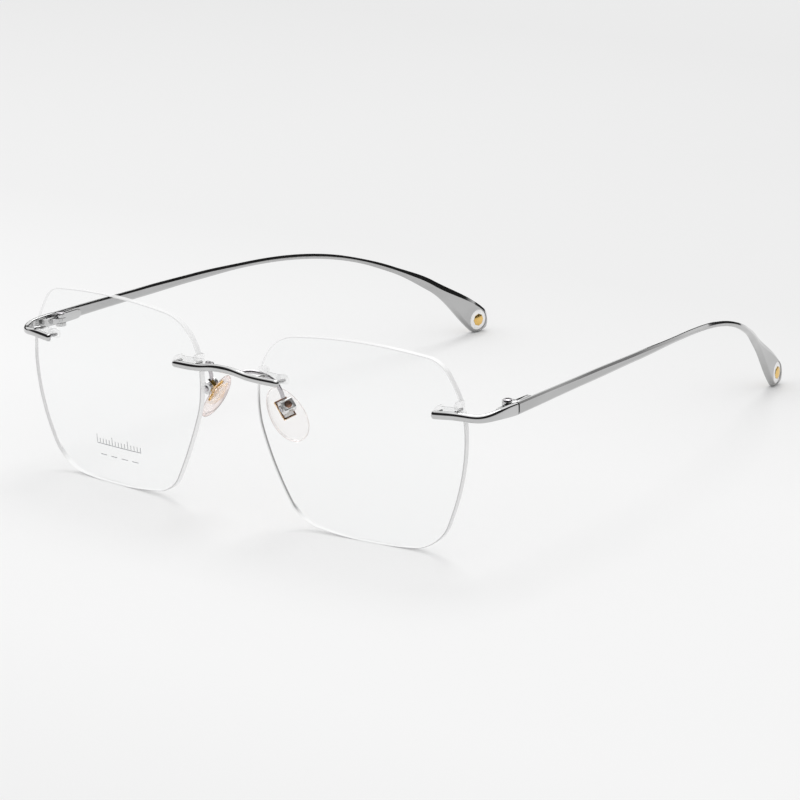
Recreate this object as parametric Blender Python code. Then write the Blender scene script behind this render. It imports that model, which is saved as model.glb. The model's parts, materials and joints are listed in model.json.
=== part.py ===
"""Rimless eyeglasses: two clear lenses hung on a titanium bridge and two endpieces, with hinged
temples and rocking nose pads.

Frame: +X is the wearer's left, +Y runs from the lenses to the temple tips, +Z is up. The origin is
on the table, in the middle of the underside of the whole part's box. The glasses stand open, on the
lower edges of the lenses and on the temple tips.

Every size and place below is in millimetres, for the wearer's left side, and measured from the
point of the table under the bridge. add_part() turns them into metres from the origin, and mirrors
them for the right side.
"""

import math

import bmesh
import bpy
import numpy as np
from mathutils import Matrix, Vector

MM = 0.001
ORIGIN = Vector((0, 75.49, 0))
LEFT, RIGHT = 1, -1
SIDES = (("left", LEFT), ("right", RIGHT))
GAP = 0.06  # between two pieces that are soldered, glued or pressed together
FUSE = 0.3  # how far two shapes of one piece run into each other

# Lenses: a six-sided outline in the lens's own plane, u to the temple and v up from its centre.
LENS_CENTRE = Vector((35.5, 0.0, 19.06))
LENS_THICK = 1.6
LENS_RADIUS = 168.0  # of the bow of the lens, seen from above and from the side
LENS_TILT = math.radians(1.6)  # the lower edge is farther back than the upper edge
LENS_WRAP = math.radians(4.0)  # the temple side is farther back than the nose side
LENS_CORNERS = (
    (20.8, 24.0),
    (28.4, 3.8),
    (19.7, -17.9),
    (-16.8, -17.5),
    (-27.9, 7.7),
    (-26.1, 22.6),
)
CORNER_REACH = (2.8, 13.9, 6.4, 4.2, 5.5, 9.3)  # how far from each corner its rounding starts
SIDE_CROWN = (1.85, 0.26, 1.57, 1.08, -0.27, 2.34)  # how far each side bows out
CORNER_FULLNESS = 0.6

# Mounts: at each end of each lens a hole and a slot in the edge, with a clear plastic bushing.
NOSE_HOLE = (-20.6, 14.3)
NOSE_SLOT = (-26.1, 14.9)
TEMPLE_HOLE = (20.6, 13.4)
TEMPLE_SLOT = (25.3, 14.6)
HOLE_R = 1.0
SLOT_HALF = 1.3
PIN_R = 0.35
PIN_CLEAR = 0.05
PIN_TAIL = 0.35  # the pins end this far behind the lens
HOLE_PIN_DROP = 0.45  # and stand low in the hole and in the slot
SLOT_PIN_DROP = 0.8
HOLE_PIN_REACH = 1.5  # from the middle of the lens forwards, into the bar
SLOT_PIN_REACH = 2.1
BUSHING_BACK = 0.7  # thickness of the strip that joins the two sleeves behind the lens
BUSHING_HEIGHT = 1.8
BUSHING_DROP = 0.45  # the strip hangs low, behind the bar

# Bridge: half of its centre line, from the middle to the left end.
BRIDGE_HALF = (
    (0.0, -2.2, 33.85),
    (3.1, -2.17, 33.7),
    (6.1, -2.08, 33.2),
    (9.2, -1.93, 32.9),
    (12.3, -1.72, 32.78),
    (15.36, -1.46, 32.7),
)
BRIDGE_HEIGHT = 1.6
BAR_FRONT = 0.75  # from a bar's centre line to its crowned front
BAR_BACK = 0.5  # and to its flat back

# Endpieces: along the lens, round the corner, and back to the hinge.
ENDPIECE_LINE = (
    (55.15, 1.1, 31.75),
    (58.5, 1.65, 31.95),
    (62.2, 2.45, 32.0),
    (65.4, 4.1, 31.7),
    (66.95, 7.1, 31.8),
    (67.25, 11.0, 31.75),
    (67.25, 14.8, 31.6),
)
JOINT_Y = 15.0  # where the endpiece meets the temple
JOINT_HEIGHT = 2.7
BAR_HEIGHT = 1.8

# Hinge: three knuckles on the inner side, on an upright axis.
HINGE_AXIS = (64.9, 14.95)
HINGE_MID = 31.6
HINGE_HEIGHT = 2.9
KNUCKLE_R = 1.25
MIDDLE_KNUCKLE = 1.1
KNUCKLE_GAP = 0.06
SHANK_R = 0.6
BORE_R = 0.66
HEAD_R = 1.0
HEAD_HEIGHT = 0.25
LEAF_END = 22.3
LEAF_HEIGHT = 2.5
LEAF_TOE = 0.06  # the leaf follows the temple inwards
FRONT_LEAF_START = 9.6

# Temples: centre line from the joint over the ear to the middle of the round tip.
TEMPLE_LINE = (
    (67.25, 15.25, 31.6),
    (66.9, 24.5, 31.6),
    (66.3, 38.0, 31.55),
    (65.5, 56.0, 31.45),
    (64.2, 75.0, 31.1),
    (61.8, 92.5, 30.1),
    (58.2, 109.5, 27.1),
    (54.0, 124.5, 21.6),
    (49.0, 137.5, 14.1),
    (45.8, 150.4, 3.37),
)
TEMPLE_HEIGHTS = (  # (share of the length, height)
    (0, 2.7),
    (0.2, 2.3),
    (0.33, 1.85),
    (0.45, 1.25),
    (0.7, 1.22),
    (0.78, 1.6),
    (0.87, 2.9),
    (1, 7.0),
)
TEMPLE_THICKS = ((0, 1.2), (0.5, 1.15), (0.75, 1.25), (1, 1.85))
TIP_R = 3.5

# Ornament in the temple tip: a pearl-white disc with a plain eight-sided gold stud.
DISC_R = 2.7
DISC_THICK = 1.4
STUD_R = 1.65
STUD_RIM = 0.12
STUD_RISE = 0.3
STUD_SHANK = 0.6

# Nose pads: long axis down and outwards, wide axis backwards, third axis towards the pad arm.
PAD_CENTRE = Vector((10.2, 7.05, 22.9))
PAD_DOWN = Vector((0.62, -0.02, -0.78)).normalized()
PAD_OUT = Vector((0.69, -0.44, 0.57)).normalized()
PAD_TURN = {LEFT: 0.0, RIGHT: math.radians(20)}  # the two arms are bent a little differently
PAD_LIFT = {LEFT: 0.0, RIGHT: 1.1}
PAD_HALF_LENGTH = 6.75
PAD_HALF_WIDTH = 4.0
PAD_FACE = 1.35  # from the middle plane to the crowned face that rests on the nose
PAD_REAR = 1.0  # and to the flatter face behind it
SCREW_UP = 1.2  # the pad's screw lies this far above the middle of the pad
SCREW_OUT = 2.5
BOX_SIZE = (3.2, 3.0, 2.3)
TAB_THICK = 0.9
TAB_CLEAR = 0.1
TAB_EYE_R = 0.8
BOX_ROOF = 0.25
PLATE_SIZE = (4.6, 3.1, 0.5)

# Pad arms: from the back of the bridge, up, over and down to the pad box.
ARM_START = (
    (3.9, -1.3, 33.4),
    (5.3, 0.35, 33.55),
    (7.3, 2.25, 32.9),
)
ARM_END = (  # from the pad's screw
    (-2.3, -1.77, 5.95),
    (-1.4, -0.47, 3.55),
    (-1.05, -0.02, 1.7),
)
ARM_R = 0.48


# ---------------------------------------------------------------- curves and outlines


def spline(points, count):
    """count points, evenly spaced by parameter, on the natural cubic spline through points."""
    knots = np.array(points, float)
    steps = np.linalg.norm(np.diff(knots, axis=0), axis=1)
    at = np.concatenate([[0.0], np.cumsum(steps)])
    n = len(knots)
    system, rhs = np.eye(n), np.zeros_like(knots)
    for i in range(1, n - 1):
        system[i, i - 1 : i + 2] = steps[i - 1], 2 * (steps[i - 1] + steps[i]), steps[i]
        slopes = np.diff(knots[i - 1 : i + 2], axis=0) / steps[i - 1 : i + 1, None]
        rhs[i] = 6 * (slopes[1] - slopes[0])
    bend = np.linalg.solve(system, rhs)
    out = []
    for s in np.linspace(0, at[-1], count):
        i = min(int(np.searchsorted(at, s, side="right")) - 1, n - 2)
        h, a, b = steps[i], at[i + 1] - s, s - at[i]
        curve = (bend[i] * a**3 + bend[i + 1] * b**3) / (6 * h)
        line = (knots[i] / h - bend[i] * h / 6) * a + (knots[i + 1] / h - bend[i + 1] * h / 6) * b
        out.append(Vector(curve + line))
    return out


def along(stops, t):
    """The value at t of a line through (t, value) stops, eased between them."""
    for (t0, v0), (t1, v1) in zip(stops, stops[1:]):
        if t <= t1:
            x = (t - t0) / (t1 - t0)
            return v0 + (v1 - v0) * x * x * (3 - 2 * x)
    return stops[-1][1]


def directions(line):
    """For each point of a line: the way along it, the outward side and the upward side."""
    out = []
    for i, point in enumerate(line):
        way = (line[min(i + 1, len(line) - 1)] - line[max(i - 1, 0)]).normalized()
        side = way.cross(Vector((0, 0, 1))).normalized()
        out.append((way, side, side.cross(way)))
    return out


def soft_box(height, front, back, round_front, round_back, count=16):
    """A closed outline in (side, up): 1 makes a side round, towards 0 makes it square."""
    out = []
    for i in range(count):
        c, s = math.cos(2 * math.pi * i / count), math.sin(2 * math.pi * i / count)
        power = round_front if c > 0 else round_back
        reach = front if c > 0 else back
        out.append(
            (
                reach * math.copysign(abs(c) ** power, c),
                height / 2 * math.copysign(abs(s) ** power, s),
            )
        )
    return out


def circle(radius, count=16):
    angles = [2 * math.pi * i / count for i in range(count)]
    return [(radius * math.cos(a), radius * math.sin(a)) for a in angles]


def lens_outline():
    """The lens's edge in (u, v): crowned sides joined by rounded corners."""
    corners = [Vector(c) for c in LENS_CORNERS]
    n = len(corners)

    def on_side(i, t):
        a, b = corners[i], corners[(i + 1) % n]
        d = b - a
        out = Vector((-d.y, d.x)).normalized() * 4 * SIDE_CROWN[i]
        return a + d * t + out * (t - t * t), (d + out * (1 - 2 * t)).normalized(), d.length

    points = []
    for i in range(n):
        before, reach = (i - 1) % n, CORNER_REACH[i]
        length_before, length = on_side(before, 0)[2], on_side(i, 0)[2]
        start, way_in, _ = on_side(before, 1 - reach / length_before)
        end, way_out, _ = on_side(i, reach / length)
        handle = CORNER_FULLNESS * reach
        c0, c1 = start + way_in * handle, end - way_out * handle
        for t in np.linspace(0, 1, 5):
            s = 1 - t
            points.append(start * s**3 + c0 * 3 * s * s * t + c1 * 3 * s * t * t + end * t**3)
        last = 1 - CORNER_REACH[(i + 1) % n] / length
        for t in np.linspace(reach / length, last, 6)[1:-1]:
            points.append(on_side(i, t)[0])
    return points[::-1]  # anticlockwise, seen from the front


# ---------------------------------------------------------------- solids


def loft(rings):
    """A closed solid through rings of points, with flat ends. Rings turn anticlockwise when seen
    from the far end of the solid."""
    bm = bmesh.new()
    verts = [[bm.verts.new(p) for p in ring] for ring in rings]
    count = len(rings[0])
    for a, b in zip(verts, verts[1:]):
        for i in range(count):
            j = (i + 1) % count
            bm.faces.new((a[i], a[j], b[j], b[i]))
    bm.faces.new(verts[0][::-1])
    bm.faces.new(verts[-1])
    return bm


def sweep(line, outlines):
    """A solid whose outline in (side, up) changes along a line."""
    rings = []
    for point, (_, side, up), outline in zip(line, directions(line), outlines):
        rings.append([point + side * a - up * b for a, b in outline])
    return loft(rings)


def tapered_rod(start, end, stops, count=16):
    """A round rod; stops are (share of its length, radius)."""
    way = (end - start).normalized()
    side = way.orthogonal().normalized()
    up = way.cross(side)
    rings = []
    for share, radius in stops:
        centre = start.lerp(end, share)
        rings.append([centre + side * a + up * b for a, b in circle(radius, count)])
    return loft(rings)


def rod(start, end, radius, count=16):
    return tapered_rod(start, end, ((0, radius), (1, radius)), count)


def block(centre, axes, size):
    """A box at centre, size long along each of three right-handed axes."""
    x, y, z = (axis * length / 2 for axis, length in zip(axes, size))
    ring = (-x - y, x - y, x + y, -x + y)
    return loft([[centre + p - z for p in ring], [centre + p + z for p in ring]])


def prism(outline, low, high):
    """An outline in (x, y), anticlockwise, raised from low to high."""
    return loft([[Vector((x, y, z)) for x, y in outline] for z in (low, high)])


# ---------------------------------------------------------------- objects


def material(name, colour, roughness, metallic=0.0, transmission=0.0, ior=1.5):
    made = bpy.data.materials.new(name)
    made.use_nodes = True
    shader = made.node_tree.nodes["Principled BSDF"]
    shader.inputs["Base Color"].default_value = (*colour, 1)
    shader.inputs["Roughness"].default_value = roughness
    shader.inputs["Metallic"].default_value = metallic
    shader.inputs["Transmission Weight"].default_value = transmission
    shader.inputs["IOR"].default_value = ior
    return made


def mirrored(point, side):
    return Vector((point[0] * side, point[1], point[2]))


def add_part(name, solid, look, side=LEFT, parent=None):
    """One object, in metres. A parent empty sits on the joint's axis of a moving piece."""
    if side == RIGHT:
        bmesh.ops.transform(solid, matrix=Matrix.Scale(-1, 4, (1, 0, 0)), verts=solid.verts)
        bmesh.ops.reverse_faces(solid, faces=solid.faces)
    origin = parent.location if parent else Vector((0, 0, 0))
    for vert in solid.verts:
        vert.co = (vert.co - ORIGIN) * MM - origin
    mesh = bpy.data.meshes.new(name)
    solid.to_mesh(mesh)
    solid.free()
    mesh.shade_smooth()
    mesh.set_sharp_from_angle(angle=math.radians(35))
    mesh.materials.append(look)
    made = bpy.data.objects.new(name, mesh)
    bpy.context.scene.collection.objects.link(made)
    made.parent = parent
    return made


def add_boolean(target, operation, solid, side=LEFT):
    """Cuts a solid from an object, or joins it on. The solid stays as a hidden guide."""
    number = len(target.modifiers) + 1
    guide = add_part(
        f"guide_{target.name}_{number}", solid, target.active_material, side, target.parent
    )
    guide.hide_render = True
    guide.display_type = "WIRE"
    modifier = target.modifiers.new(f"{operation.lower()}_{number}", "BOOLEAN")
    modifier.operation = operation
    modifier.solver = "EXACT"
    modifier.object = guide


def axis_empty(name, place, side, parent=None):
    empty = bpy.data.objects.new(name, None)
    empty.location = (mirrored(place, side) - ORIGIN) * MM
    empty.empty_display_size = 5 * MM
    bpy.context.scene.collection.objects.link(empty)
    empty.parent = parent
    return empty


# ---------------------------------------------------------------- lenses and their mounts


def lens_place(u, v, depth=0.0):
    """The point of the lens at (u, v); depth is towards the eye from the middle of the lens."""
    bow = (u * u + v * v) / (2 * LENS_RADIUS)
    turn = Matrix.Rotation(LENS_WRAP, 3, "Z") @ Matrix.Rotation(LENS_TILT, 3, "X")
    return LENS_CENTRE + turn @ Vector((u, bow + depth, v))


def lens_solid():
    """Front and back as rings that shrink to a middle point, joined round the edge."""
    outline = lens_outline()
    shares = (1.0, 0.78, 0.52, 0.26)
    bm = bmesh.new()
    faces = []
    for depth in (-LENS_THICK / 2, LENS_THICK / 2):
        rings = [
            [bm.verts.new(lens_place(p.x * k, p.y * k, depth)) for p in outline] for k in shares
        ]
        faces.append((rings, bm.verts.new(lens_place(0, 0, depth))))
    count = len(outline)
    (front, front_mid), (back, back_mid) = faces
    for i in range(count):
        j = (i + 1) % count
        for outer, inner in zip(front, front[1:]):
            bm.faces.new((outer[i], outer[j], inner[j], inner[i]))
        for outer, inner in zip(back, back[1:]):
            bm.faces.new((inner[i], inner[j], outer[j], outer[i]))
        bm.faces.new((front[-1][i], front[-1][j], front_mid))
        bm.faces.new((back[-1][j], back[-1][i], back_mid))
        bm.faces.new((back[0][i], back[0][j], front[0][j], front[0][i]))
    for vert in bm.verts:
        vert.co.z = max(vert.co.z, 0.0)  # the small flat that the lens stands on
    return bm


def mount_frame(hole, slot):
    """At one end of a lens: the hole, the slot, the level way from hole to slot, the way back
    through the lens, and up."""
    at_hole, at_slot = lens_place(*hole), lens_place(*slot)
    u, v = ((a + b) / 2 for a, b in zip(hole, slot))
    back = (lens_place(u, v + 1) - lens_place(u, v - 1)).cross(
        lens_place(u + 1, v) - lens_place(u - 1, v)
    )
    back.normalize()
    level = Vector((at_slot.x - at_hole.x, at_slot.y - at_hole.y, 0))
    reach = (level - back * level.dot(back)).normalized()
    up = reach.cross(back) if reach.x > 0 else back.cross(reach)
    return at_hole, at_slot, reach, back, up


def slot_shape(at_slot, reach, back, up, grow, depths, length):
    """A round-ended slot that is open at the lens's edge."""
    half = SLOT_HALF + grow
    angles = [math.pi / 2 + math.pi * i / 8 for i in range(9)]
    outline = [reach * half * 0.8 * math.cos(a) + up * half * math.sin(a) for a in angles]
    outline += [reach * length - up * half, reach * length + up * half]
    if reach.cross(up).dot(back) < 0:
        outline.reverse()
    return loft([[at_slot + back * depth + p for p in outline] for depth in depths])


def add_lens(name, side, look):
    lens = add_part(f"lens_{name}", lens_solid(), look, side)
    depth = LENS_THICK * 1.5
    for hole, slot in ((NOSE_HOLE, NOSE_SLOT), (TEMPLE_HOLE, TEMPLE_SLOT)):
        at_hole, at_slot, reach, back, up = mount_frame(hole, slot)
        drill = rod(at_hole - back * depth, at_hole + back * depth, HOLE_R)
        add_boolean(lens, "DIFFERENCE", drill, side)
        notch = slot_shape(at_slot, reach, back, up, 0.0, (-depth, depth), 5.0)
        add_boolean(lens, "DIFFERENCE", notch, side)


def pin_places(hole, slot):
    """Where a bar's two pins cross the middle of the lens."""
    at_hole, at_slot, _, _, up = mount_frame(hole, slot)
    return at_hole - up * HOLE_PIN_DROP, at_slot - up * SLOT_PIN_DROP


def add_bushing(name, side, hole, slot, look):
    """A sleeve in the hole, a lining in the slot, and a strip behind the lens that joins them."""
    at_hole, at_slot, reach, back, up = mount_frame(hole, slot)
    front, rear = -LENS_THICK / 2, LENS_THICK / 2 + GAP + 0.1
    length = (at_slot - at_hole).dot(reach)
    centre = at_hole + reach * length / 2 + back * (rear + BUSHING_BACK / 2) - up * BUSHING_DROP
    if reach.cross(up).dot(back) > 0:
        strip = block(centre, (reach, up, back), (length + 2, BUSHING_HEIGHT, BUSHING_BACK))
    else:
        strip = block(centre, (up, reach, back), (BUSHING_HEIGHT, length + 2, BUSHING_BACK))
    part = add_part(name, strip, look, side)
    sleeve = rod(at_hole + back * front, at_hole + back * (rear + FUSE), HOLE_R - GAP)
    add_boolean(part, "UNION", sleeve, side)
    lining = slot_shape(at_slot, reach, back, up, -GAP, (front, rear + FUSE), 0.7)
    add_boolean(part, "UNION", lining, side)
    for place in pin_places(hole, slot):
        clearance = rod(place - back * 3, place + back * 4, PIN_R + PIN_CLEAR)
        add_boolean(part, "DIFFERENCE", clearance, side)


def mount_pins(hole, slot):
    """The two pins of a bar, from inside the bar to just behind the lens."""
    back = mount_frame(hole, slot)[3]
    tail = LENS_THICK / 2 + PIN_TAIL
    for place, reach in zip(pin_places(hole, slot), (HOLE_PIN_REACH, SLOT_PIN_REACH)):
        yield rod(place - back * reach, place + back * tail, PIN_R, 12)


# ---------------------------------------------------------------- bridge and pad arms


def rounded_share(distance, radius):
    """How much of its full width a bar keeps this far from its rounded end."""
    if distance >= radius:
        return 1.0
    left = 1 - distance / radius
    return math.sqrt(max(1 - left * left, 0.06))


def add_bridge(look):
    half = [Vector(p) for p in BRIDGE_HALF]
    line = spline([mirrored(p, RIGHT) for p in half[:0:-1]] + half, 45)
    outlines = []
    for point in line:
        keep = rounded_share(half[-1].x - abs(point.x), BRIDGE_HEIGHT / 2)
        outlines.append(
            soft_box(BRIDGE_HEIGHT * keep, BAR_FRONT * keep, BAR_BACK * keep, 0.9, 0.5)
        )
    bridge = add_part("bridge", sweep(line, outlines), look)
    for side in (LEFT, RIGHT):
        for pin in mount_pins(NOSE_HOLE, NOSE_SLOT):
            add_boolean(bridge, "UNION", pin, side)


def add_pad_arm(name, side, look):
    turn = Matrix.Rotation(PAD_TURN[side], 3, "Z")
    screw = pad_screw_place(side)
    line = spline([Vector(p) for p in ARM_START] + [screw + turn @ Vector(p) for p in ARM_END], 20)
    add_part(f"pad_arm_{name}", sweep(line, [circle(ARM_R, 10)] * len(line)), look, side)


# ---------------------------------------------------------------- nose pads


def pad_axes(side):
    """Down the pad, across it towards the back, and out towards its arm."""
    turn = Matrix.Rotation(PAD_TURN[side], 3, "Z")
    down = turn @ PAD_DOWN
    out = turn @ (PAD_OUT - PAD_DOWN * PAD_OUT.dot(PAD_DOWN)).normalized()
    return down, out.cross(down), out


def pad_screw_place(side):
    """The screw's place. Each pad turns about the upright line through its screw."""
    down, _, out = pad_axes(LEFT)
    return PAD_CENTRE - down * SCREW_UP + out * SCREW_OUT + Vector((0, 0, PAD_LIFT[side]))


def pad_solid(side):
    """A soft drop, narrower at the top, crowned towards the nose."""
    down, across, out = pad_axes(side)
    middle = pad_screw_place(side) + down * SCREW_UP - out * SCREW_OUT
    rings = []
    count = 24
    for level in (-0.999, -0.93, -0.7, -0.35, 0.0, 0.35, 0.7, 0.93, 0.999):
        keep = math.sqrt(1 - level * level)
        height = level * (PAD_REAR if level > 0 else PAD_FACE)
        spread = keep**0.7
        ring = []
        for i in range(count):
            a = 2 * math.pi * i / count
            drop = 1 + 0.1 * math.cos(a)
            ring.append(
                middle
                + down * PAD_HALF_LENGTH * spread * math.cos(a)
                + across * PAD_HALF_WIDTH * spread * drop * math.sin(a)
                + out * height
            )
        rings.append(ring)
    return loft(rings)


def add_nose_pad(name, side, looks):
    """The pad, its plate and tab, on an empty at the screw; and the fixed box with the screw."""
    axes = down, across, out = pad_axes(side)
    screw = pad_screw_place(side)
    pivot = axis_empty(f"pad_pivot_{name}", screw, side)
    plate_mid = screw - out * (SCREW_OUT - PAD_REAR + 0.35)
    plate_size = Vector(PLATE_SIZE)

    pad = add_part(f"nose_pad_{name}", pad_solid(side), looks["silicone"], side, pivot)
    pocket = plate_size + Vector((2 * GAP, 2 * GAP, 2.0))
    pocket_mid = plate_mid + out * (1.0 - GAP)
    add_boolean(pad, "DIFFERENCE", block(pocket_mid, axes, pocket), side)

    insert = add_part(
        f"pad_insert_{name}", block(plate_mid, axes, plate_size), looks["gold"], side, pivot
    )
    tab_from, tab_to = plate_mid, screw
    tab_size = (2 * TAB_EYE_R, TAB_THICK, (tab_to - tab_from).length)
    add_boolean(insert, "UNION", block((tab_from + tab_to) / 2, axes, tab_size), side)
    half = across * TAB_THICK / 2
    add_boolean(insert, "UNION", rod(screw - half, screw + half, TAB_EYE_R), side)
    add_boolean(insert, "DIFFERENCE", rod(screw - across * 2, screw + across * 2, 0.42), side)

    box = add_part(f"pad_box_{name}", block(screw, axes, BOX_SIZE), looks["steel"], side)
    slot = (BOX_SIZE[0] + 2, TAB_THICK + 2 * TAB_CLEAR, BOX_SIZE[2])
    add_boolean(box, "DIFFERENCE", block(screw - out * BOX_ROOF, axes, slot), side)
    add_boolean(box, "DIFFERENCE", rod(screw - across * 3, screw + across * 3, 0.42), side)

    reach = BOX_SIZE[1] / 2
    head = screw - across * (reach + GAP)
    pin = rod(head, screw + across * (reach + 0.1), 0.36, 12)
    fastener = add_part(f"pad_screw_{name}", pin, looks["steel"], side)
    cap = tapered_rod(head, head - across * 0.35, ((0, 0.75), (0.6, 0.72), (1, 0.5)))
    add_boolean(fastener, "UNION", cap, side)


# ---------------------------------------------------------------- endpieces and hinges


def add_endpiece(name, side, look):
    line = spline([Vector(p) for p in ENDPIECE_LINE], 34)
    outlines = []
    for i, point in enumerate(line):
        t = i / (len(line) - 1)
        square = along(((0, 0), (0.45, 0), (1, 1)), t)
        height = BAR_HEIGHT + (JOINT_HEIGHT - BAR_HEIGHT) * square
        front = BAR_FRONT + (0.6 - BAR_FRONT) * square
        back = BAR_BACK + (0.6 - BAR_BACK) * square
        nose = 0.75 if i == 0 else 1.0
        outlines.append(
            soft_box(height * nose, front * nose, back, 0.9 - 0.45 * square, 0.5 - 0.1 * square)
        )
    part = add_part(f"endpiece_{name}", sweep(line, outlines), look, side)
    for pin in mount_pins(TEMPLE_HOLE, TEMPLE_SLOT):
        add_boolean(part, "UNION", pin, side)


def knuckle(low, high, radius=KNUCKLE_R):
    x, y = HINGE_AXIS
    return rod(Vector((x, y, low)), Vector((x, y, high)), radius, 20)


def hinge_levels():
    """Bottom, the middle knuckle's bottom and top, and top of the hinge."""
    half, middle = HINGE_HEIGHT / 2, MIDDLE_KNUCKLE / 2
    return HINGE_MID - half, HINGE_MID - middle, HINGE_MID + middle, HINGE_MID + half


def add_front_leaf(name, side, look):
    """The middle knuckle, its web, and the plate that is soldered inside the endpiece."""
    _, low, high, _ = hinge_levels()
    x, y = HINGE_AXIS
    part = add_part(f"hinge_front_leaf_{name}", knuckle(low, high), look, side)
    web = [(x - 0.4, y - 3.0), (x + 1.25, y - 3.0), (x + 1.25, y), (x - 0.4, y)]
    add_boolean(part, "UNION", prism(web, low, high), side)
    inner, outer = 65.35, 66.45
    end = y - KNUCKLE_R - 0.15
    half = JOINT_HEIGHT / 2 - 0.1
    plate = [
        (inner + 0.1, FRONT_LEAF_START),
        (outer - 0.25, FRONT_LEAF_START),
        (outer, end),
        (inner, end),
    ]
    add_boolean(part, "UNION", prism(plate, HINGE_MID - half, HINGE_MID + half), side)
    add_boolean(part, "DIFFERENCE", knuckle(low - 2, high + 2, BORE_R), side)


def add_temple_leaf(name, side, look, pivot):
    """The outer knuckles and the round-ended plate that is soldered inside the temple."""
    bottom, low, high, top = hinge_levels()
    x, y = HINGE_AXIS
    inner = x + 0.3
    start = y + KNUCKLE_R + 0.15
    half = LEAF_HEIGHT / 2
    rings = []
    for i in range(9):
        share = math.sin(math.pi / 2 * i / 8)
        reach = start if i == 0 else LEAF_END - half + half * share
        tall = half * math.sqrt(max(1 - (share if i else 0) ** 2, 0.02))
        outer = x + 1.62 - LEAF_TOE * (reach - start)
        ring = [(outer, -tall), (outer, tall), (inner + 0.25, tall), (inner, tall - 0.25)]
        ring += [(inner, 0.25 - tall), (inner + 0.25, -tall)]
        if tall < 0.5:
            corner = tall * 0.7
            ring = [(px, pz if abs(pz) == tall else math.copysign(corner, pz)) for px, pz in ring]
        rings.append([Vector((px, reach, HINGE_MID + pz)) for px, pz in ring[::-1]])
    part = add_part(f"hinge_temple_leaf_{name}", loft(rings), look, side, pivot)
    outer, end = x + 1.6, start + FUSE
    arm = [(x, y), (x + KNUCKLE_R, y), (outer, y + 0.9), (outer, end), (x + 0.4, end)]
    for floor, ceiling in ((bottom, low - KNUCKLE_GAP), (high + KNUCKLE_GAP, top)):
        add_boolean(part, "UNION", knuckle(floor, ceiling), side)
        add_boolean(part, "UNION", prism(arm, floor, ceiling), side)
    add_boolean(part, "DIFFERENCE", knuckle(bottom - 2, top + 2, BORE_R), side)


def add_hinge_screw(name, side, look):
    """A shank through the knuckles and a domed, slotted head on top."""
    bottom, _, _, top = hinge_levels()
    x, y = HINGE_AXIS
    seat = top + KNUCKLE_GAP
    shank = rod(Vector((x, y, bottom)), Vector((x, y, seat + 0.1)), SHANK_R)
    part = add_part(f"hinge_screw_{name}", shank, look, side)
    head = tapered_rod(
        Vector((x, y, seat)),
        Vector((x, y, seat + HEAD_HEIGHT)),
        ((0, HEAD_R), (0.5, HEAD_R * 0.93), (1, HEAD_R * 0.6)),
    )
    add_boolean(part, "UNION", head, side)
    groove = block(
        Vector((x, y, seat + HEAD_HEIGHT)),
        (Vector((1, 0, 0)), Vector((0, 1, 0)), Vector((0, 0, 1))),
        (3.0, 0.25, 0.3),
    )
    add_boolean(part, "DIFFERENCE", groove, side)


# ---------------------------------------------------------------- temples


def temple_stations():
    """Centre line and outlines of a temple, with closer stations round the tip."""
    line = spline([Vector(p) for p in TEMPLE_LINE], 44)
    outlines = []
    last = len(line) - 1
    for i in range(last + 1):
        t = i / last
        height, thick = along(TEMPLE_HEIGHTS, t), along(TEMPLE_THICKS, t)
        outlines.append(soft_box(height, thick / 2, thick / 2, 0.3, 0.3))
    way = (line[-1] - line[-2]).normalized()
    thick = TEMPLE_THICKS[-1][1]
    middle = line[-1]
    for angle in (18, 36, 52, 66, 77, 86):
        a = math.radians(angle)
        line.append(middle + way * TIP_R * math.sin(a))
        outlines.append(soft_box(2 * TIP_R * math.cos(a), thick / 2, thick / 2, 0.3, 0.3))
    return line, outlines, middle, way


def add_temple(name, side, looks):
    x, y = HINGE_AXIS
    pivot = axis_empty(f"temple_pivot_{name}", (x, y, HINGE_MID), side)
    line, outlines, middle, way = temple_stations()
    across = way.cross(Vector((0, 0, 1))).normalized()
    solid = sweep(line, outlines)
    for vert in solid.verts:
        vert.co.z = max(vert.co.z, 0.0)
    part = add_part(f"temple_{name}", solid, looks["titanium"], side, pivot)
    hole = rod(middle - across * 3, middle + across * 3, DISC_R + GAP, 28)
    add_boolean(part, "DIFFERENCE", hole, side)

    half = across * DISC_THICK / 2
    disc = add_part(
        f"tip_disc_{name}", rod(middle - half, middle + half, DISC_R, 28), looks["pearl"], side, pivot
    )
    bore = rod(middle - across * 2, middle + across * 2, STUD_SHANK + GAP)
    add_boolean(disc, "DIFFERENCE", bore, side)

    shank_half = across * (DISC_THICK / 2 + 0.1)
    stud = add_part(
        f"tip_stud_{name}",
        rod(middle - shank_half, middle + shank_half, STUD_SHANK),
        looks["gold"],
        side,
        pivot,
    )
    for out in (across, -across):
        seat = middle + out * (DISC_THICK / 2 + GAP / 2)
        stops = ((0, STUD_R), (STUD_RIM / STUD_RISE, STUD_R), (1, STUD_R * 0.35))
        add_boolean(stud, "UNION", tapered_rod(seat, seat + out * STUD_RISE, stops, 8), side)
    add_temple_leaf(name, side, looks["titanium"], pivot)


# ---------------------------------------------------------------- the whole


def clear_scene():
    for old in list(bpy.data.objects):
        bpy.data.objects.remove(old)


def make_looks():
    return {
        "titanium": material("satin_titanium", (0.62, 0.62, 0.63), 0.28, metallic=1.0),
        "steel": material("polished_steel", (0.72, 0.72, 0.74), 0.12, metallic=1.0),
        "gold": material("gold_plate", (0.83, 0.62, 0.27), 0.22, metallic=1.0),
        "pearl": material("pearl_white", (0.93, 0.92, 0.9), 0.2),
        "lens": material("clear_lens", (0.97, 0.98, 0.98), 0.02, transmission=1.0),
        "bushing": material("clear_plastic", (0.92, 0.93, 0.93), 0.1, transmission=0.9),
        "silicone": material("clear_silicone", (0.95, 0.88, 0.86), 0.25, transmission=0.8, ior=1.41),
    }


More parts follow.
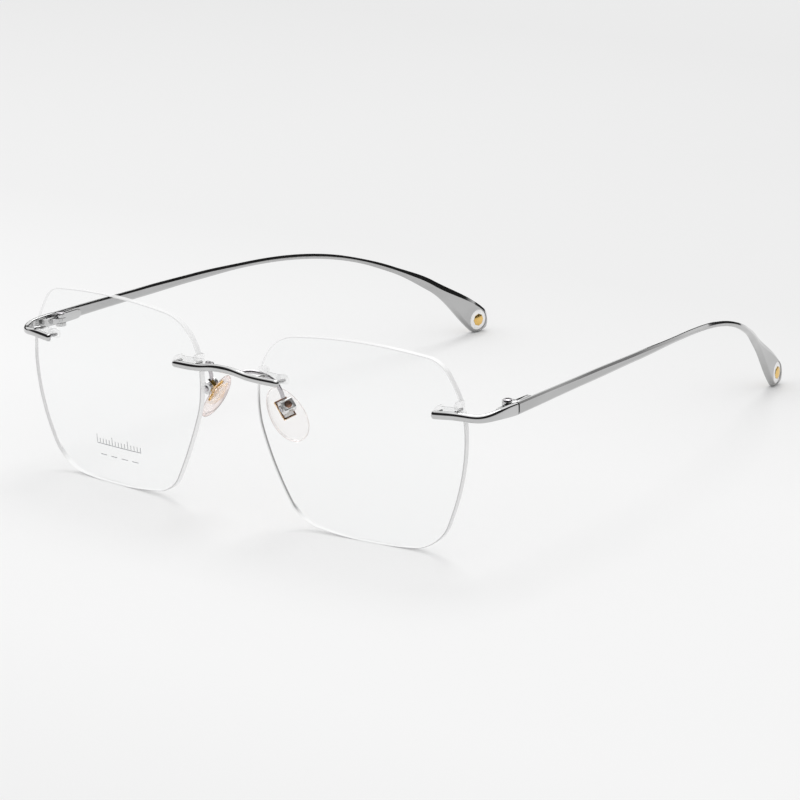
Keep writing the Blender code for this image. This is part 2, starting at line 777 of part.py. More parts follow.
def main():
    clear_scene()
    looks = make_looks()
    add_bridge(looks["titanium"])
    for name, side in SIDES:
        add_lens(name, side, looks["lens"])
        add_bushing(f"bridge_bushing_{name}", side, NOSE_HOLE, NOSE_SLOT, looks["bushing"])
        add_bushing(f"temple_bushing_{name}", side, TEMPLE_HOLE, TEMPLE_SLOT, looks["bushing"])
        add_pad_arm(name, side, looks["titanium"])
        add_nose_pad(name, side, looks)
        add_endpiece(name, side, looks["titanium"])
        add_front_leaf(name, side, looks["titanium"])
        add_hinge_screw(name, side, looks["steel"])
        add_temple(name, side, looks)


main()
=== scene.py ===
"""Rimless eyeglasses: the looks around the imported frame.

Sizes are in millimetres, for the wearer's left side, measured from the point of the table under the
bridge. Shapes are placed from the frame's boxes and joints, turned into metres by place(), and
mirrored for the right side.
"""

import json
import math

import bmesh
import bpy
import numpy as np
from mathutils import Matrix, Vector


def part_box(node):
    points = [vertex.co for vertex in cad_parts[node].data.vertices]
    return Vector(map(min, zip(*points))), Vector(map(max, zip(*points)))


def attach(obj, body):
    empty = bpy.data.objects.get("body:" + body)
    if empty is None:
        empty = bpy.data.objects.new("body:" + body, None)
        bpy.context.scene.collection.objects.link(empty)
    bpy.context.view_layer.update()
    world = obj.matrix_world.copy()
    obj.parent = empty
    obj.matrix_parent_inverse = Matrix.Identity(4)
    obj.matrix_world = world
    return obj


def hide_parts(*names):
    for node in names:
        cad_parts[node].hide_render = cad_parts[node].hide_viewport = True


MM = 0.001
SIDES = (("left", 1), ("right", -1))
UP = Vector((0, 0, 1))

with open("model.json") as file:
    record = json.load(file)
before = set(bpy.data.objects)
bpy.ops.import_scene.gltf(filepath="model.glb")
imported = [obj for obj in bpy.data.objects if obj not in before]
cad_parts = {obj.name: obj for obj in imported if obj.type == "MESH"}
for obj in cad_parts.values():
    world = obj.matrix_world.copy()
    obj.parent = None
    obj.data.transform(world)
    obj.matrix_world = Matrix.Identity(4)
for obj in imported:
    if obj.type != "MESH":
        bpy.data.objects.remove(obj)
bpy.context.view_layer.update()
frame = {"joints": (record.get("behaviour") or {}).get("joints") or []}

BRIDGE_FRONT = -2.95  # the front of the bridge, from the middle of the lenses
UNDER_BRIDGE = Vector((0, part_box("bridge")[0].y - BRIDGE_FRONT * MM, 0))


def joint(name):
    """A joint's place in millimetres and its axis."""
    found = next(j for j in frame["joints"] if j["name"] == name)
    return (Vector(found["pos_m"]) - UNDER_BRIDGE) / MM, Vector(found["axis"])


def box(node):
    """The lowest and highest corner of a node, in millimetres."""
    low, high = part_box(node)
    return (low - UNDER_BRIDGE) / MM, (high - UNDER_BRIDGE) / MM


HINGE, _ = joint("temple_hinge_left")

# ---- curves and outlines


def spline(points, count):
    """count points on the natural cubic spline through points."""
    knots = np.array(points, float)
    steps = np.linalg.norm(np.diff(knots, axis=0), axis=1)
    at = np.concatenate([[0.0], np.cumsum(steps)])
    n = len(knots)
    system, rhs = np.eye(n), np.zeros_like(knots)
    for i in range(1, n - 1):
        system[i, i - 1 : i + 2] = steps[i - 1], 2 * (steps[i - 1] + steps[i]), steps[i]
        slopes = np.diff(knots[i - 1 : i + 2], axis=0) / steps[i - 1 : i + 1, None]
        rhs[i] = 6 * (slopes[1] - slopes[0])
    bend = np.linalg.solve(system, rhs)
    out = []
    for s in np.linspace(0, at[-1], count):
        i = min(int(np.searchsorted(at, s, side="right")) - 1, n - 2)
        h, a, b = steps[i], at[i + 1] - s, s - at[i]
        curve = (bend[i] * a**3 + bend[i + 1] * b**3) / (6 * h)
        line = (knots[i] / h - bend[i] * h / 6) * a + (knots[i + 1] / h - bend[i + 1] * h / 6) * b
        out.append(Vector(curve + line))
    return out


def along(stops, t):
    """The value at t of a line through (t, value) stops, eased between them."""
    for (t0, v0), (t1, v1) in zip(stops, stops[1:]):
        if t <= t1:
            x = (t - t0) / (t1 - t0)
            return v0 + (v1 - v0) * x * x * (3 - 2 * x)
    return stops[-1][1]


def directions(line):
    """For each point of a line: the outward side and the upward side."""
    out = []
    for i in range(len(line)):
        way = (line[min(i + 1, len(line) - 1)] - line[max(i - 1, 0)]).normalized()
        side = way.cross(UP).normalized()
        out.append((side, side.cross(way)))
    return out


def circle(radius, count=32):
    angles = [2 * math.pi * i / count for i in range(count)]
    return [(radius * math.cos(a), radius * math.sin(a)) for a in angles]


def blade_section(height, thick, cut):
    """A temple's outline in (side, up): a flat bar with its four long edges bevelled."""
    half, side = height / 2, thick / 2
    down = min(cut, 0.42 * height)
    inward = min(down, 0.33 * thick)
    quarter = ((side, half - down), (side - inward, half))
    top = quarter + tuple((-x, z) for x, z in quarter[::-1])
    return top + tuple((x, -z) for x, z in top[::-1])


def soft_section(height, front, back, round_front, round_back, count=56):
    """A bar's outline in (side, up): 1 makes a side round, towards 0 makes it square."""
    out = []
    for i in range(count):
        c, s = math.cos(2 * math.pi * i / count), math.sin(2 * math.pi * i / count)
        power, reach = (round_front, front) if c > 0 else (round_back, back)
        across = reach * math.copysign(abs(c) ** power, c)
        out.append((across, height / 2 * math.copysign(abs(s) ** power, s)))
    return out


# ---- solids


def loft(rings):
    """A solid through rings of points, with flat ends."""
    bm = bmesh.new()
    verts = [[bm.verts.new(p) for p in ring] for ring in rings]
    count = len(rings[0])
    for a, b in zip(verts, verts[1:]):
        for i in range(count):
            j = (i + 1) % count
            bm.faces.new((a[i], a[j], b[j], b[i]))
    bm.faces.new(verts[0][::-1])
    bm.faces.new(verts[-1])
    return bm


def sweep(line, outlines):
    """A solid along a line, with one outline in (side, up) for each of its points."""
    rings = []
    for point, (side, up), outline in zip(line, directions(line), outlines):
        rings.append([point + side * a - up * b for a, b in outline])
    return loft(rings)


def tapered_rod(start, end, stops, count=32):
    """A round rod; stops are (share of its length, radius)."""
    way = (end - start).normalized()
    side = way.orthogonal().normalized()
    up = way.cross(side)
    rings = []
    for share, radius in stops:
        centre = start.lerp(end, share)
        rings.append([centre + side * a + up * b for a, b in circle(radius, count)])
    return loft(rings)


def rod(start, end, radius, count=32, edge=0.0):
    """A round rod; edge is how much of each end is rounded off."""
    if not edge:
        return tapered_rod(start, end, ((0, radius), (1, radius)), count)
    share = edge / (end - start).length
    stops = [(0, radius - edge), (share * 0.3, radius - edge * 0.3), (share, radius)]
    stops += [(1 - s, r) for s, r in stops[::-1]]
    return tapered_rod(start, end, stops, count)


def block(centre, axes, size):
    """A box with its own axes."""
    x, y, z = (axis * length / 2 for axis, length in zip(axes, size))
    ring = (-x - y, x - y, x + y, -x + y)
    return loft([[centre + p - z for p in ring], [centre + p + z for p in ring]])


# ---- objects

BEVEL_FROM = math.radians(35)  # edges sharper than this are rounded


def place(name, solid, looks, side=1):
    """One object in metres from a solid in millimetres, mirrored for the right side."""
    if side < 0:
        bmesh.ops.transform(solid, matrix=Matrix.Scale(-1, 4, (1, 0, 0)), verts=solid.verts)
        bmesh.ops.reverse_faces(solid, faces=solid.faces)
    bmesh.ops.scale(solid, vec=(MM, MM, MM), verts=solid.verts)
    bmesh.ops.translate(solid, vec=UNDER_BRIDGE, verts=solid.verts)
    mesh = bpy.data.meshes.new(name)
    solid.to_mesh(mesh)
    solid.free()
    for look in looks if isinstance(looks, (list, tuple)) else [looks]:
        mesh.materials.append(look)
    made = bpy.data.objects.new(name, mesh)
    bpy.context.scene.collection.objects.link(made)
    return made


def carve(target, operation, solids, side=1, look=None):
    """Cuts solids from an object, or joins them on, and keeps only the result."""
    guides = []
    for i, solid in enumerate(solids):
        guide = place(f"guide_{i}", solid, look or target.data.materials[0], side)
        modifier = target.modifiers.new("boolean", "BOOLEAN")
        modifier.operation = operation
        modifier.solver = "EXACT"
        modifier.object = guide
        modifier.material_mode = "TRANSFER"
        guides.append(guide)
    bake(target)
    for guide in guides:
        bpy.data.objects.remove(guide)


def bake(target):
    """Turns an object's modifiers into its mesh."""
    bpy.context.view_layer.update()
    graph = bpy.context.evaluated_depsgraph_get()
    mesh = bpy.data.meshes.new_from_object(target.evaluated_get(graph), depsgraph=graph)
    target.modifiers.clear()
    target.data = mesh


def finish_piece(made, body, nodes=(), bevel=0.0, angle=40):
    """Rounds the edges, smooths the shading, and lets the piece ride on its body."""
    if bevel:
        modifier = made.modifiers.new("edges", "BEVEL")
        modifier.width = bevel * MM
        modifier.segments = 3
        modifier.limit_method = "ANGLE"
        modifier.angle_limit = BEVEL_FROM
        modifier.use_clamp_overlap = True
        bake(made)
    made.data.shade_smooth()
    made.data.set_sharp_from_angle(angle=math.radians(angle))
    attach(made, body)
    if nodes:
        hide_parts(*nodes)


# ---- materials


def grey(value):
    return (value,) * 3


def add_ramp(tree, source, stops):
    """A grey ramp through (place, value) stops."""
    made = tree.nodes.new("ShaderNodeValToRGB")
    elements = made.color_ramp.elements
    while len(elements) > 1:
        elements.remove(elements[-1])
    elements[0].position = stops[0][0]
    elements[0].color = (*grey(stops[0][1]), 1)
    for at, value in stops[1:]:
        elements.new(at).color = (*grey(value), 1)
    tree.links.new(source, made.inputs["Fac"])
    return made.outputs["Color"]


def add_mix(tree, kind, factor, a, b):
    """A colour mix; factor is a number or a socket, and a and b are colours or sockets."""
    made = tree.nodes.new("ShaderNodeMix")
    made.data_type = "RGBA"
    made.blend_type = kind
    for key, value in (("Factor", factor), ("A", a), ("B", b)):
        if isinstance(value, float):
            made.inputs[key].default_value = value
        elif isinstance(value, tuple):
            made.inputs[key].default_value = (*value, 1)
        else:
            tree.links.new(value, made.inputs[key])
    return made.outputs["Result"]


class Look:
    """A node material, built from its Principled BSDF outwards."""

    def __init__(self, name):
        self.material = bpy.data.materials.new(name)
        self.material.use_nodes = True
        self.tree = self.material.node_tree
        self.nodes = self.tree.nodes
        self.links = self.tree.links
        self.shader = self.nodes["Principled BSDF"]
        self.output = self.nodes["Material Output"]
        self.coordinates = self.nodes.new("ShaderNodeTexCoord").outputs["Object"]

    def set(self, **values):
        for key, value in values.items():
            self.shader.inputs[key.replace("_", " ")].default_value = value

    def noise(self, scale, detail=3.0, roughness=0.5):
        """Noise; scale is per metre along x, y and z."""
        mapping = self.nodes.new("ShaderNodeMapping")
        mapping.inputs["Scale"].default_value = scale
        self.links.new(self.coordinates, mapping.inputs["Vector"])
        made = self.nodes.new("ShaderNodeTexNoise")
        made.inputs["Scale"].default_value = 1.0
        made.inputs["Detail"].default_value = detail
        made.inputs["Roughness"].default_value = roughness
        self.links.new(mapping.outputs["Vector"], made.inputs["Vector"])
        return made.outputs["Fac"]

    def spread(self, source, low, high, start=0.3, end=0.7):
        """Turns start to end into low to high."""
        made = self.nodes.new("ShaderNodeMapRange")
        spans = {"From Min": start, "From Max": end, "To Min": low, "To Max": high}
        for key, value in spans.items():
            made.inputs[key].default_value = value
        self.links.new(source, made.inputs["Value"])
        return made.outputs["Result"]

    def ramp(self, source, stops):
        return add_ramp(self.tree, source, stops)

    def tint(self, source, dark, light):
        """A mix of two colours or sockets."""
        return add_mix(self.tree, "MIX", source, dark, light)

    def split(self, source):
        """The x, y and z of a vector."""
        made = self.nodes.new("ShaderNodeSeparateXYZ")
        self.links.new(source, made.inputs["Vector"])
        return made.outputs

    def blend(self, factor, first, second):
        """A mix of two shaders."""
        made = self.nodes.new("ShaderNodeMixShader")
        self.links.new(factor, made.inputs["Fac"])
        self.links.new(first, made.inputs[1])
        self.links.new(second, made.inputs[2])
        return made.outputs["Shader"]

    def bump(self, source, height_mm, strength=1.0):
        made = self.nodes.new("ShaderNodeBump")
        made.inputs["Strength"].default_value = strength
        made.inputs["Distance"].default_value = height_mm * MM
        self.links.new(source, made.inputs["Height"])
        self.links.new(made.outputs["Normal"], self.shader.inputs["Normal"])

    def link(self, source, socket):
        self.links.new(source, self.shader.inputs[socket])


def metal_look(name, dark, light, rough_low, rough_high, brush, bump):
    """Metal with a grain; brush is the grain's scale, and bump its height in millimetres."""
    look = Look(name)
    look.set(Metallic=1.0)
    grain = look.noise(brush, 4)
    patches = look.noise((160, 60, 160), 2)
    look.link(look.tint(look.spread(patches, 0, 1), dark, light), "Base Color")
    look.link(look.spread(grain, rough_low, rough_high), "Roughness")
    look.bump(grain, bump, 0.6)
    return look.material


def pearl_look():
    look = Look("pearl_enamel")
    clouds = look.noise((900, 900, 900), 3)
    pale = look.tint(look.spread(clouds, 0, 1), (0.84, 0.83, 0.86), (0.95, 0.95, 0.92))
    look.link(pale, "Base Color")
    look.set(Roughness=0.14, Coat_Weight=0.6, Coat_Roughness=0.04)
    return look.material


def thin_clear_look(name, tint, haze, reflect, shade):
    """Clear sheet: light passes straight through, and a little of it is reflected. shade is the
    share of light that it lets through to the floor."""
    look = Look(name)
    nodes, links = look.nodes, look.links
    clear = nodes.new("ShaderNodeBsdfTransparent")
    path = nodes.new("ShaderNodeLightPath")
    links.new(look.tint(path.outputs["Is Shadow Ray"], tint, grey(shade)), clear.inputs["Color"])
    dust = look.noise((2500, 2500, 2500), 2)
    gloss = nodes.new("ShaderNodeBsdfGlossy")
    links.new(look.spread(dust, 0.02, 0.06), gloss.inputs["Roughness"])
    fresnel = nodes.new("ShaderNodeFresnel")
    fresnel.inputs["IOR"].default_value = 1.5
    geometry = nodes.new("ShaderNodeNewGeometry")
    outside = look.spread(geometry.outputs["Backfacing"], reflect, 0, 0, 1)
    weight = nodes.new("ShaderNodeMath")
    weight.operation = "MULTIPLY"
    links.new(fresnel.outputs["Fac"], weight.inputs[0])
    links.new(outside, weight.inputs[1])
    shine = look.blend(weight.outputs["Value"], clear.outputs["BSDF"], gloss.outputs["BSDF"])
    veil = look.blend(look.spread(dust, haze * 0.5, haze), shine, look.shader.outputs["BSDF"])
    look.set(Base_Color=(*grey(0.9), 1), Roughness=0.5)
    links.new(veil, look.output.inputs["Surface"])
    return look.material


def ground_look(name, inside, seen_inside=True):
    """The ground rim of a lens, almost as pale as the room, in painted light and shade.
    From outside it is painted lighter where it faces up, brightest far out on x as a painted
    highlight, and its other faces are greyer further out on x. Seen through the lens it is
    painted in shade by height, an even grey out on the right lens, and white at the bottom. inside
    is how dark that painted shade is at the height of the lower sides. The rear isn't seen
    through it."""
    look = Look(name)
    grain = look.noise((5000, 5000, 5000), 2)
    geometry = look.nodes.new("ShaderNodeNewGeometry").outputs
    facing, spot = look.split(geometry["Normal"]), look.split(look.coordinates)
    # painted shade and light from outside: greyer further out on x, lighter where it faces up
    side = look.spread(spot["X"], 0.86, 0.74, 0.0, 0.06)
    top = look.spread(facing["Z"], 0, 1, 0.55, 0.85)
    # painted highlight on upward faces far out on x
    glint = look.spread(spot["X"], 0, 1, 0.038, 0.046)
    outside = look.tint(top, side, look.tint(glint, grey(0.9), grey(1.0)))
    # painted shade seen through the lens: by height, an even grey out on the right lens, white low
    # down
    heights = look.spread(spot["Z"], 0, 1, 0.0, 0.045)
    through = look.ramp(heights, ((0.03, 0.98), (0.1, inside), (0.6, inside), (0.76, 0.84)))
    far = look.spread(spot["X"], 1, 0, -0.045, 0.0)
    seen = look.tint(far, through, grey(0.72))
    low = look.spread(spot["Z"], 1, 0, 0.002, 0.0045)
    seen = look.tint(low, seen, grey(1.0))
    look.link(look.tint(geometry["Backfacing"], outside, seen), "Base Color")
    upper = (0.08, 0.9), (0.6, 0.9), (0.8, 0.25)
    fade = look.ramp(heights, upper if seen_inside else ((0.08, 0.9), (0.12, 0.0)))
    look.link(look.tint(geometry["Backfacing"], grey(0.8), fade), "Alpha")
    look.link(look.spread(grain, 0.45, 0.6), "Roughness")
    look.bump(grain, 0.004, 0.4)
    look.set(Specular_IOR_Level=0.1)
    return look.material


def edge_line_look(name, seen_inside=True):
    """The polished bevel of a lens: a thin line of painted shade, darker than the rim and painted
    lighter where it faces up, faint on the upper sides.
    """
    look = Look(name)
    grain = look.noise((3000, 3000, 3000), 2)
    geometry = look.nodes.new("ShaderNodeNewGeometry").outputs
    facing, spot = look.split(geometry["Normal"]), look.split(look.coordinates)
    # painted light and shade: lighter where the bevel faces up
    shade = look.spread(facing["Z"], 0, 1, 0.2, 0.6)
    look.link(look.tint(shade, grey(0.58), grey(0.78)), "Base Color")
    high = look.spread(spot["Z"], 0, 1, 0.027, 0.034)
    level = look.spread(facing["Z"], 0, 1, 0.45, 0.75)
    faint = look.tint(high, grey(1.0), look.tint(level, grey(0.25), grey(1.0)))
    inside = faint if seen_inside else grey(0.0)
    look.link(look.tint(geometry["Backfacing"], faint, inside), "Alpha")
    look.link(look.spread(grain, 0.25, 0.4), "Roughness")
    look.set(Specular_IOR_Level=0.2)
    return look.material


def silicone_look():
    """Soft clear silicone: mostly seen straight through, bending light and pinker at its rim, with
    painted shade darkening its outline where it is seen edge-on.
    """
    look = Look("clear_silicone")
    clouds = look.noise((700, 700, 700), 3)
    weight = look.nodes.new("ShaderNodeLayerWeight")
    weight.inputs["Blend"].default_value = 0.5
    rim = look.spread(weight.outputs["Facing"], 0, 1, 0.4, 0.8)
    line = look.spread(weight.outputs["Facing"], 0, 1, 0.72, 0.95)
    pale = look.tint(look.spread(clouds, 0, 1), (0.985, 0.955, 0.95), (0.998, 0.985, 0.98))
    look.link(look.tint(rim, pale, (0.9, 0.72, 0.68)), "Base Color")
    look.link(look.spread(clouds, 0.02, 0.06), "Roughness")
    look.set(Transmission_Weight=1.0, IOR=1.4)
    clear = look.nodes.new("ShaderNodeBsdfTransparent")
    pink = look.tint(rim, (0.998, 0.99, 0.987), (0.95, 0.83, 0.8))
    # painted shade: where it is seen edge-on, what shows through it is darkened
    look.links.new(look.tint(line, pink, (0.42, 0.38, 0.37)), clear.inputs["Color"])
    share = look.spread(rim, 0.2, 0.5, 0, 1)
    both = look.blend(share, clear.outputs["BSDF"], look.shader.outputs["BSDF"])
    look.links.new(both, look.output.inputs["Surface"])
    return look.material


def ink_look():
    look = Look("grey_print")
    grain = look.noise((9000, 9000, 9000), 2)
    ink = look.tint(look.spread(grain, 0, 1), (0.2, 0.21, 0.22), (0.34, 0.35, 0.36))
    look.link(ink, "Base Color")
    look.set(Roughness=0.55)
    return look.material


LENGTHWISE = (3000, 250, 3000)
CROSSWISE = (250, 3000, 3000)
EVEN = (2500, 2500, 2500)
COARSE = (1300, 1300, 1300)
GOLD = ((0.8, 0.52, 0.16), (0.9, 0.64, 0.26))
FOIL = ((0.62, 0.34, 0.04), (0.9, 0.6, 0.16))
COPPER = ((0.2, 0.1, 0.07), (0.3, 0.17, 0.12))
STEEL = ((0.5, 0.48, 0.5), (0.6, 0.58, 0.6))
LOOKS = {
    "bar": metal_look("polished_titanium", grey(0.55), grey(0.6), 0.04, 0.09, CROSSWISE, 0.001),
    "blade": metal_look("satin_titanium", grey(0.47), grey(0.52), 0.05, 0.12, LENGTHWISE, 0.002),
    "steel": metal_look("polished_steel", *STEEL, 0.16, 0.26, EVEN, 0.002),
    "holder": metal_look("satin_steel", grey(0.68), grey(0.78), 0.26, 0.36, EVEN, 0.002),
    "gold": metal_look("gold_plate", *GOLD, 0.18, 0.3, EVEN, 0.004),
    "foil": metal_look("gold_foil", *FOIL, 0.2, 0.35, COARSE, 0.03),
    "copper": metal_look("copper_edge", *COPPER, 0.2, 0.35, EVEN, 0.004),
    "pearl": pearl_look(),
    "lens": thin_clear_look("clear_lens", (0.995, 0.997, 0.997), 0.006, 0.25, 0.82),
    # three copies of the rim that differ in the painted shade seen through the lens
    "rim": ground_look("lens_ground_edge", 0.8),
    "rim_back": ground_look("lens_ground_edge_back", 0.3),
    "rim_rear": ground_look("lens_ground_edge_rear", 0.36, False),
    "bevel": edge_line_look("lens_bevel"),
    "bevel_rear": edge_line_look("lens_bevel_rear", False),
    "silicone": silicone_look(),
    "bushing": thin_clear_look("clear_bushing", grey(0.985), 0.05, 0.9, 0.8),
    "ink": ink_look(),
}

# ---- lenses

LENS_CENTRE = Vector((box("lens_left")[0].x + 27.37, 0.0, 19.06))
LENS_THICK = 1.6
LENS_RADIUS = 168.0  # of the bow of the lens, seen from above and from the side
LENS_TURN = Matrix.Rotation(math.radians(4.0), 3, "Z") @ Matrix.Rotation(math.radians(1.6), 3, "X")
LENS_CORNERS = (
    (20.8, 24.0),
    (28.4, 3.8),
    (19.7, -17.9),
    (-16.8, -17.5),
    (-27.9, 7.7),
    (-26.1, 22.6),
)
CORNER_REACH = (2.8, 13.9, 6.4, 4.2, 5.5, 9.3)  # how far from each corner its rounding starts
SIDE_CROWN = (1.85, 0.26, 1.57, 1.08, -0.27, 2.34)  # how far each side bows out
CORNER_FULLNESS = 0.6
FACE_RINGS = (1.0, 0.97, 0.85, 0.65, 0.4, 0.18)  # shares of the outline, towards the middle
EDGE_BEVEL = 0.16
# seen through the lens, the rim is painted pale in front of RIM_DARK and painted dark behind it
RIM_DARK = -0.25  # seen through the bending lens, the rim is light to this depth and then dark,
RIM_END = 0.3  # and ends here

NOSE_HOLE = (-20.6, 14.3)
NOSE_SLOT = (-26.1, 14.9)
TEMPLE_HOLE = (20.6, 13.4)
TEMPLE_SLOT = (25.3, 14.6)
MOUNTS = {"bridge": (NOSE_HOLE, NOSE_SLOT), "temple": (TEMPLE_HOLE, TEMPLE_SLOT)}
HOLE_R = 1.0
SLOT_HALF = 1.3
SLOT_END = 0.8  # how round the slot's inner end is
SLOT_REACH = 5.0  # past the rim
PIN_R = 0.35
PIN_CLEAR = 0.05
PIN_TAIL = 0.35  # the pins end this far behind the lens
HOLE_PIN_DROP = 0.45  # and stand low in the hole and in the slot
SLOT_PIN_DROP = 0.8
HOLE_PIN_REACH = 1.5  # from the middle of the lens forwards, into the bar
SLOT_PIN_REACH = 2.1
BUSHING_GAP = 0.06
STRIP_THICK = 0.7  # the strip behind the lens that joins a bushing's sleeve and lining
STRIP_HALF = 0.9
STRIP_DROP = 0.45
STRIP_EDGE = 0.12
STRIP_SIZE = 1.6  # the size that its rounded edge is a share of


def lens_place(u, v, depth=0.0):
    """A point of the bowed lens, from its centre outwards, up and back."""
    bow = (u * u + v * v) / (2 * LENS_RADIUS)
    return LENS_CENTRE + LENS_TURN @ Vector((u, bow + depth, v))


def lens_outline(corner_steps=16, side_steps=16):
    """Bowed sides that meet in rounded corners, as (u, v) points."""
    corners = [Vector(c) for c in LENS_CORNERS]
    n = len(corners)

    def on_side(i, t):
        a, b = corners[i], corners[(i + 1) % n]
        d = b - a
        out = Vector((-d.y, d.x)).normalized() * 4 * SIDE_CROWN[i]
        return a + d * t + out * (t - t * t), (d + out * (1 - 2 * t)).normalized(), d.length

    points = []
    for i in range(n):
        before, reach = (i - 1) % n, CORNER_REACH[i]
        length_before, length = on_side(before, 0)[2], on_side(i, 0)[2]
        start, way_in, _ = on_side(before, 1 - reach / length_before)
        end, way_out, _ = on_side(i, reach / length)
        handle = CORNER_FULLNESS * reach
        c0, c1 = start + way_in * handle, end - way_out * handle
        for t in np.linspace(0, 1, corner_steps):
            s = 1 - t
            points.append(start * s**3 + c0 * 3 * s * s * t + c1 * 3 * s * t * t + end * t**3)
        last = 1 - CORNER_REACH[(i + 1) % n] / length
        for t in np.linspace(reach / length, last, side_steps)[1:-1]:
            points.append(on_side(i, t)[0])
    return points[::-1]


def inset(outline, distance):
    """The outline, moved inwards."""
    n = len(outline)
    out = []
    for i in range(n):
        way = (outline[(i + 1) % n] - outline[i - 1]).normalized()
        out.append(outline[i] + Vector((-way.y, way.x)) * distance)
    return out


def lens_solid():
    """A bowed plate with a ground rim and two small polished bevels. Material 0 is the clear
    surface, 2 and 5 are the front and back bevel, and 1, 3 and 4 are the rim between them."""
    outline = lens_outline()
    shrunk = inset(outline, EDGE_BEVEL)
    half = LENS_THICK / 2
    bm = bmesh.new()

    def ring(points, depth, share=1.0):
        return [bm.verts.new(lens_place(p.x * share, p.y * share, depth)) for p in points]

    def strip(a, b, index):
        for i in range(len(a)):
            j = (i + 1) % len(a)
            bm.faces.new((a[i], a[j], b[j], b[i])).material_index = index

    front = [ring(shrunk, -half, k) for k in FACE_RINGS]
    back = [ring(shrunk, half, k) for k in FACE_RINGS]
    rim_front, rim_back = ring(outline, EDGE_BEVEL - half), ring(outline, half - EDGE_BEVEL)
    rim_mid, rim_seen = ring(outline, RIM_DARK), ring(outline, RIM_END)
    for a, b in zip(front, front[1:]):
        strip(a, b, 0)
    for a, b in zip(back, back[1:]):
        strip(b, a, 0)
    strip(rim_front, front[0], 2)
    strip(back[0], rim_back, 5)
    strip(rim_mid, rim_front, 1)
    strip(rim_seen, rim_mid, 3)
    strip(rim_back, rim_seen, 4)
    bm.faces.new(front[-1])
    bm.faces.new(back[-1][::-1])
    for vert in bm.verts:
        vert.co.z = max(vert.co.z, 0.0)
    return bm


def mount_frame(hole, slot):
    """The hole, the slot, the level way from hole to slot, the way back and up."""
    at_hole, at_slot = lens_place(*hole), lens_place(*slot)
    u, v = ((a + b) / 2 for a, b in zip(hole, slot))
    back = (lens_place(u, v + 1) - lens_place(u, v - 1)).cross(
        lens_place(u + 1, v) - lens_place(u - 1, v)
    )
    back.normalize()
    level = Vector((at_slot.x - at_hole.x, at_slot.y - at_hole.y, 0))
    reach = (level - back * level.dot(back)).normalized()
    up = reach.cross(back) if reach.x > 0 else back.cross(reach)
    return at_hole, at_slot, reach, back, up


def slot_shape(at_slot, reach, back, up, grow, depths, length, steps=20):
    """A bar with one round end, open towards the rim."""
    half = SLOT_HALF + grow
    angles = [math.pi / 2 + math.pi * i / steps for i in range(steps + 1)]
    outline = [reach * half * SLOT_END * math.cos(a) + up * half * math.sin(a) for a in angles]
    outline += [reach * length - up * half, reach * length + up * half]
    if reach.cross(up).dot(back) < 0:
        outline.reverse()
    return loft([[at_slot + back * depth + p for p in outline] for depth in depths])


def add_lens(name, side):
    """The lens, drilled and slotted beside each bar."""
    looks = [LOOKS[k] for k in ("lens", "rim", "bevel", "rim_back", "rim_rear", "bevel_rear")]
    made = place(f"clear_lens_{name}", lens_solid(), looks, side)
    depth = LENS_THICK * 1.5
    holes, slots = [], []
    for hole, slot in MOUNTS.values():
        at_hole, at_slot, reach, back, up = mount_frame(hole, slot)
        holes.append(rod(at_hole - back * depth, at_hole + back * depth, HOLE_R, 40))
        slots.append(slot_shape(at_slot, reach, back, up, 0.0, (-depth, depth), SLOT_REACH))
    carve(made, "DIFFERENCE", holes, side, LOOKS["lens"])
    carve(made, "DIFFERENCE", slots, side, LOOKS["bushing"])
    finish_piece(made, "front", [f"lens_{name}"], angle=30)


def pin_places(hole, slot):
    """Where the pins of a hole and a slot stand."""
    at_hole, at_slot, _, _, up = mount_frame(hole, slot)
    return at_hole - up * HOLE_PIN_DROP, at_slot - up * SLOT_PIN_DROP


def add_bushing(kind, name, side):
    """A sleeve in the hole, a lining in the slot, and a strip that joins them behind the lens."""
    hole, slot = MOUNTS[kind]
    at_hole, at_slot, reach, back, up = mount_frame(hole, slot)
    front, rear = -LENS_THICK / 2, LENS_THICK / 2 + BUSHING_GAP + 0.1
    length = (at_slot - at_hole).dot(reach)
    centre = at_hole + reach * length / 2 + back * (rear + STRIP_THICK / 2) - up * STRIP_DROP
    straight = length / 2 + 1 - STRIP_HALF
    outline = []
    for sign in (1, -1):
        for i in range(13):
            a = math.radians(-90 + 180 * i / 12)
            along_strip = reach * (straight + STRIP_HALF * math.cos(a))
            outline.append((along_strip + up * STRIP_HALF * math.sin(a)) * sign)
    if reach.cross(up).dot(back) < 0:
        outline.reverse()
    far = STRIP_THICK - STRIP_EDGE
    layers = ((0, STRIP_EDGE), (STRIP_EDGE, 0), (far, 0), (STRIP_THICK, STRIP_EDGE))
    rings = []
    for depth, shrink in layers:
        share = 1 - shrink / STRIP_SIZE
        rings.append([centre + back * (depth - STRIP_THICK / 2) + p * share for p in outline])
    part = place(f"{kind}_plug_{name}", loft(rings), LOOKS["bushing"], side)
    sleeve = rod(at_hole + back * front, at_hole + back * (rear + 0.3), HOLE_R - BUSHING_GAP, 36)
    lining = slot_shape(at_slot, reach, back, up, -BUSHING_GAP, (front, rear + 0.3), 0.7)
    carve(part, "UNION", [sleeve, lining], side)
    bores = []
    for spot in pin_places(hole, slot):
        bores.append(rod(spot - back * 3, spot + back * 4, PIN_R + PIN_CLEAR, 20))
    carve(part, "DIFFERENCE", bores, side)
    finish_piece(part, "front", [f"{kind}_bushing_{name}"])


def mount_pins(kind):
    """A bar's two pins, which pass through the bushing."""
    hole, slot = MOUNTS[kind]
    back = mount_frame(hole, slot)[3]
    tail = LENS_THICK / 2 + PIN_TAIL
    for spot, reach in zip(pin_places(hole, slot), (HOLE_PIN_REACH, SLOT_PIN_REACH)):
        yield rod(spot - back * reach, spot + back * tail, PIN_R, 20, 0.08)


INK_WIDTH = 0.16
INK_LIFT = (-0.005, -0.02)  # the ink's back and front, from the front of the lens
RULER_START, RULER_MIDDLE, RULER_LENGTH = 5.5, -1.5, 14
RULER_FOOT = -9.4
DASH_ROW = -12.2


